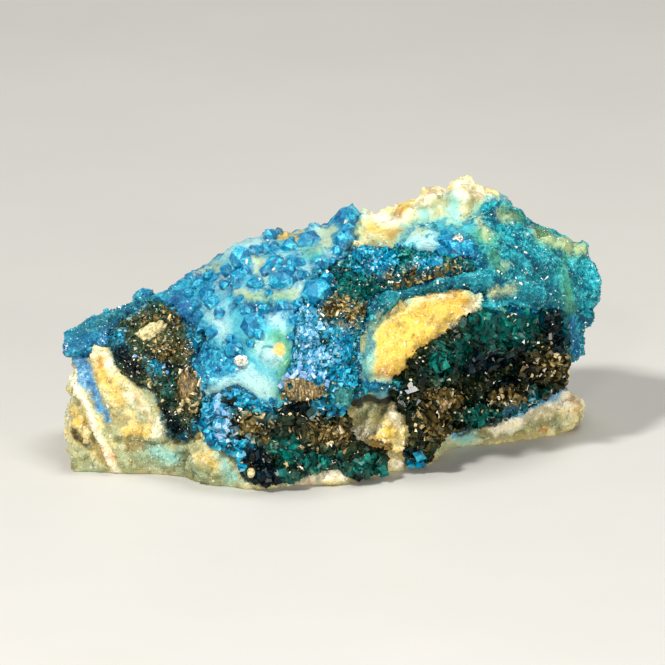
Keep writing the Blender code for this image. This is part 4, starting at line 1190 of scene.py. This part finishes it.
GLINTS = (  # small facets painted bright cream as glints: place across and up the face, width, mm
    (16.4, 19.3, 0.44), (21.4, 18.7, 0.44), (19.2, 19.6, 0.33), (22.6, 15.1, 1), (23.4, 13.7, 0.67),
    (24.1, 13.2, 0.78), (22.9, 13, 0.67), (26.1, 15.1, 0.67), (17.4, 10, 0.67), (18.9, 9.8, 0.78),
    (20.7, 10.3, 0.56), (10.4, 8.4, 0.78), (10.8, 6.6, 0.67), (11.9, 7.7, 0.33), (12.6, 12.7, 0.56),
    (11.2, 16.3, 0.33), (17.2, 28.2, 0.33), (20.1, 27.3, 0.44), (21.2, 26.7, 0.44),
    (18.1, 24.6, 0.44), (20.7, 23.2, 0.44), (23.6, 23.9, 0.44), (20, 21.7, 0.33),
    (-1.2, 25.6, 0.67), (-0.4, 23.2, 0.44), (-3, 20.7, 0.67), (-1.4, 19.8, 0.67),
    (-8.6, 20.4, 0.44), (-6.1, 21, 0.56), (3.4, 23.2, 0.56), (7.4, 25, 0.44), (11.4, 23.4, 0.56),
    (13.9, 24.8, 0.33), (-10.1, 9, 0.44), (-8.1, 7.7, 0.56), (-5.4, 9.9, 0.56), (-1.9, 8.8, 0.78),
    (0.6, 7, 1), (-0.6, 7.2, 0.67), (-3.7, 2.8, 0.67), (-2.8, 6.8, 0.44), (-18.3, 14.6, 0.44),
    (-16.6, 14.1, 0.33), (-17.7, 9, 0.44), (-16.1, 9.4, 0.44), (-21.7, 15, 0.33),
    (-22.3, 14.8, 0.44), (1.2, 30.1, 0.67), (13, 11.2, 0.78), (22.1, 14.3, 0.78),
    (23.8, 12.7, 0.78), (18.1, 10.6, 0.67), (19.7, 9.4, 0.56), (13.4, 9, 0.56), (9.9, 9.7, 0.67),
    (11.2, 7.7, 0.67), (25, 13.9, 0.67), (15.7, 10.1, 0.44), (-6.8, 24.8, 0.56), (-9.9, 25.7, 0.67),
)
STRANDS = (  # brown and golden splinters of the slab and the striated lumps
    (-5.2, 11.9, 1.2), (-4.8, 11, 1.1), (-4.1, 12.6, 1.3), (-3.6, 11.4, 1.3), (-3, 10.7, 1.1),
    (-2.6, 12.3, 1.3), (-1.9, 11.4, 1.3), (-1.4, 12.1, 1.1), (-4.3, 10.6, 0.89), (-5.4, 12.6, 0.89),
    (-16.8, 12.8, 1.1), (-16.1, 12.1, 1.2), (-16.6, 11.2, 1.3), (-15.7, 11, 1.1),
    (-16.1, 10.1, 1.2), (-16.8, 9.9, 1), (-15.4, 9.9, 0.89), (-21.4, 17.7, 1), (-19, 18.6, 1),
    (-19.9, 16.8, 0.89), (12.1, 11.4, 1), (12.8, 10.8, 1.1), (11.8, 10.6, 1), (12.6, 9.8, 1),
    (11.2, 10.1, 1), (11.7, 9.2, 0.89), (1.2, 20.3, 1), (0.3, 19.9, 0.89), (1.9, 19.4, 0.78),
    (-9.4, 7.7, 1), (-8.6, 7, 0.89), (-0.1, 6.8, 1), (-3.9, 5.2, 1), (-1.9, 4.8, 0.89),
    (-0.6, 5.4, 1.1), (1.1, 4.6, 0.89), (-2.8, 8.6, 1), (0.8, 7.2, 1.3), (-1.9, 9, 0.89),
    (-5, 7, 0.89), (-21.7, 14.8, 0.78), (-20.6, 12.1, 0.78), (-18.1, 15.7, 0.89),
    (-19.2, 10.3, 0.78), (-17.2, 13.3, 1), (-15, 12.2, 1), (-15, 10.7, 1), (-17.1, 9.3, 1),
    (-15.7, 9.2, 0.89), (-16.3, 13.7, 0.89), (-5.7, 10.8, 0.89), (-4.8, 10.2, 0.89),
    (-2.3, 10.3, 0.89), (-1.2, 11, 0.78), (-15.4, 13.2, 0.78), (-17.4, 10.6, 0.89),
)
LILAC = (  # pale lavender facets
    (-12.9, 9.7, 1), (-12.2, 8.8, 0.89), (-13, 8.3, 0.78), (-12.1, 7.2, 0.89), (-12.8, 6.3, 0.78),
    (-11.6, 7.9, 0.56), (-13.4, 7.2, 0.56), (-19, 14.1, 0.56), (-18.6, 13.4, 0.44),
    (-22.2, 15.2, 0.44), (4.6, 25.7, 0.56), (4.1, 24.8, 0.44), (2.3, 25, 0.44), (-10.6, 24.8, 0.44),
    (-6.7, 27.4, 0.44), (-5.7, 25, 0.44), (-5.3, 12.9, 0.89), (-4.4, 13.2, 1), (-3.4, 13.1, 0.89),
    (-2.4, 13.2, 1), (-1.6, 12.9, 0.89), (-1, 12.2, 0.78), (-5.7, 12.2, 0.78), (-3.9, 13.9, 0.78),
    (-2.8, 14.6, 0.78), (-4.3, 15.2, 0.67), (-3.2, 16.3, 0.78), (-1.9, 15.7, 0.67),
    (-14.2, 21.4, 0.44), (3, 25.7, 0.44), (5.4, 25.2, 0.33), (1, 25.7, 0.44),
)
for name, spots, forms, slot, lift, stops, seed in (
    ("azure_crystals", [(*spot, 1.25 * width) for *spot, width in AZURE], NUGGETS,
     "turquoise_left", -0.08, (
        (0.44, 0, 74, 114), (0.58, 0, 110, 154), (0.72, 0, 144, 184),
        (0.86, 92, 206, 220)), 63),
    ("golden_strands", STRANDS, SHARDS, "dark_center", 0.12, (
        (0.44, 58, 46, 20), (0.56, 140, 118, 70), (0.68, 196, 172, 116),
        (0.82, 248, 234, 196)), 64),
    # Painted glints: these facets are coloured bright cream.
    ("cream_glints", GLINTS, SHARDS, "dark_right", 0.12, (
        (0.4, 206, 178, 118), (0.6, 250, 238, 208), (0.8, 255, 252, 244)), 61),
    ("lilac_facets", LILAC, BLOCKS, "dark_lower", 0.12, (
        (0.4, 60, 130, 196), (0.65, 130, 176, 226), (0.9, 220, 232, 248)), 62),
):
    made = grown(name, spots_on_face(name, spots, lift), PLACING, Forms=forms, Seed=seed,
                 Finish=lump_finish(name + "_finish", stops, 0.1))
    shown(made, slot)

for forms in (GRAINS, SUGAR, NUGGETS, BLOCKS, SHARDS):
    for form in list(forms.objects):
        bpy.data.objects.remove(form)
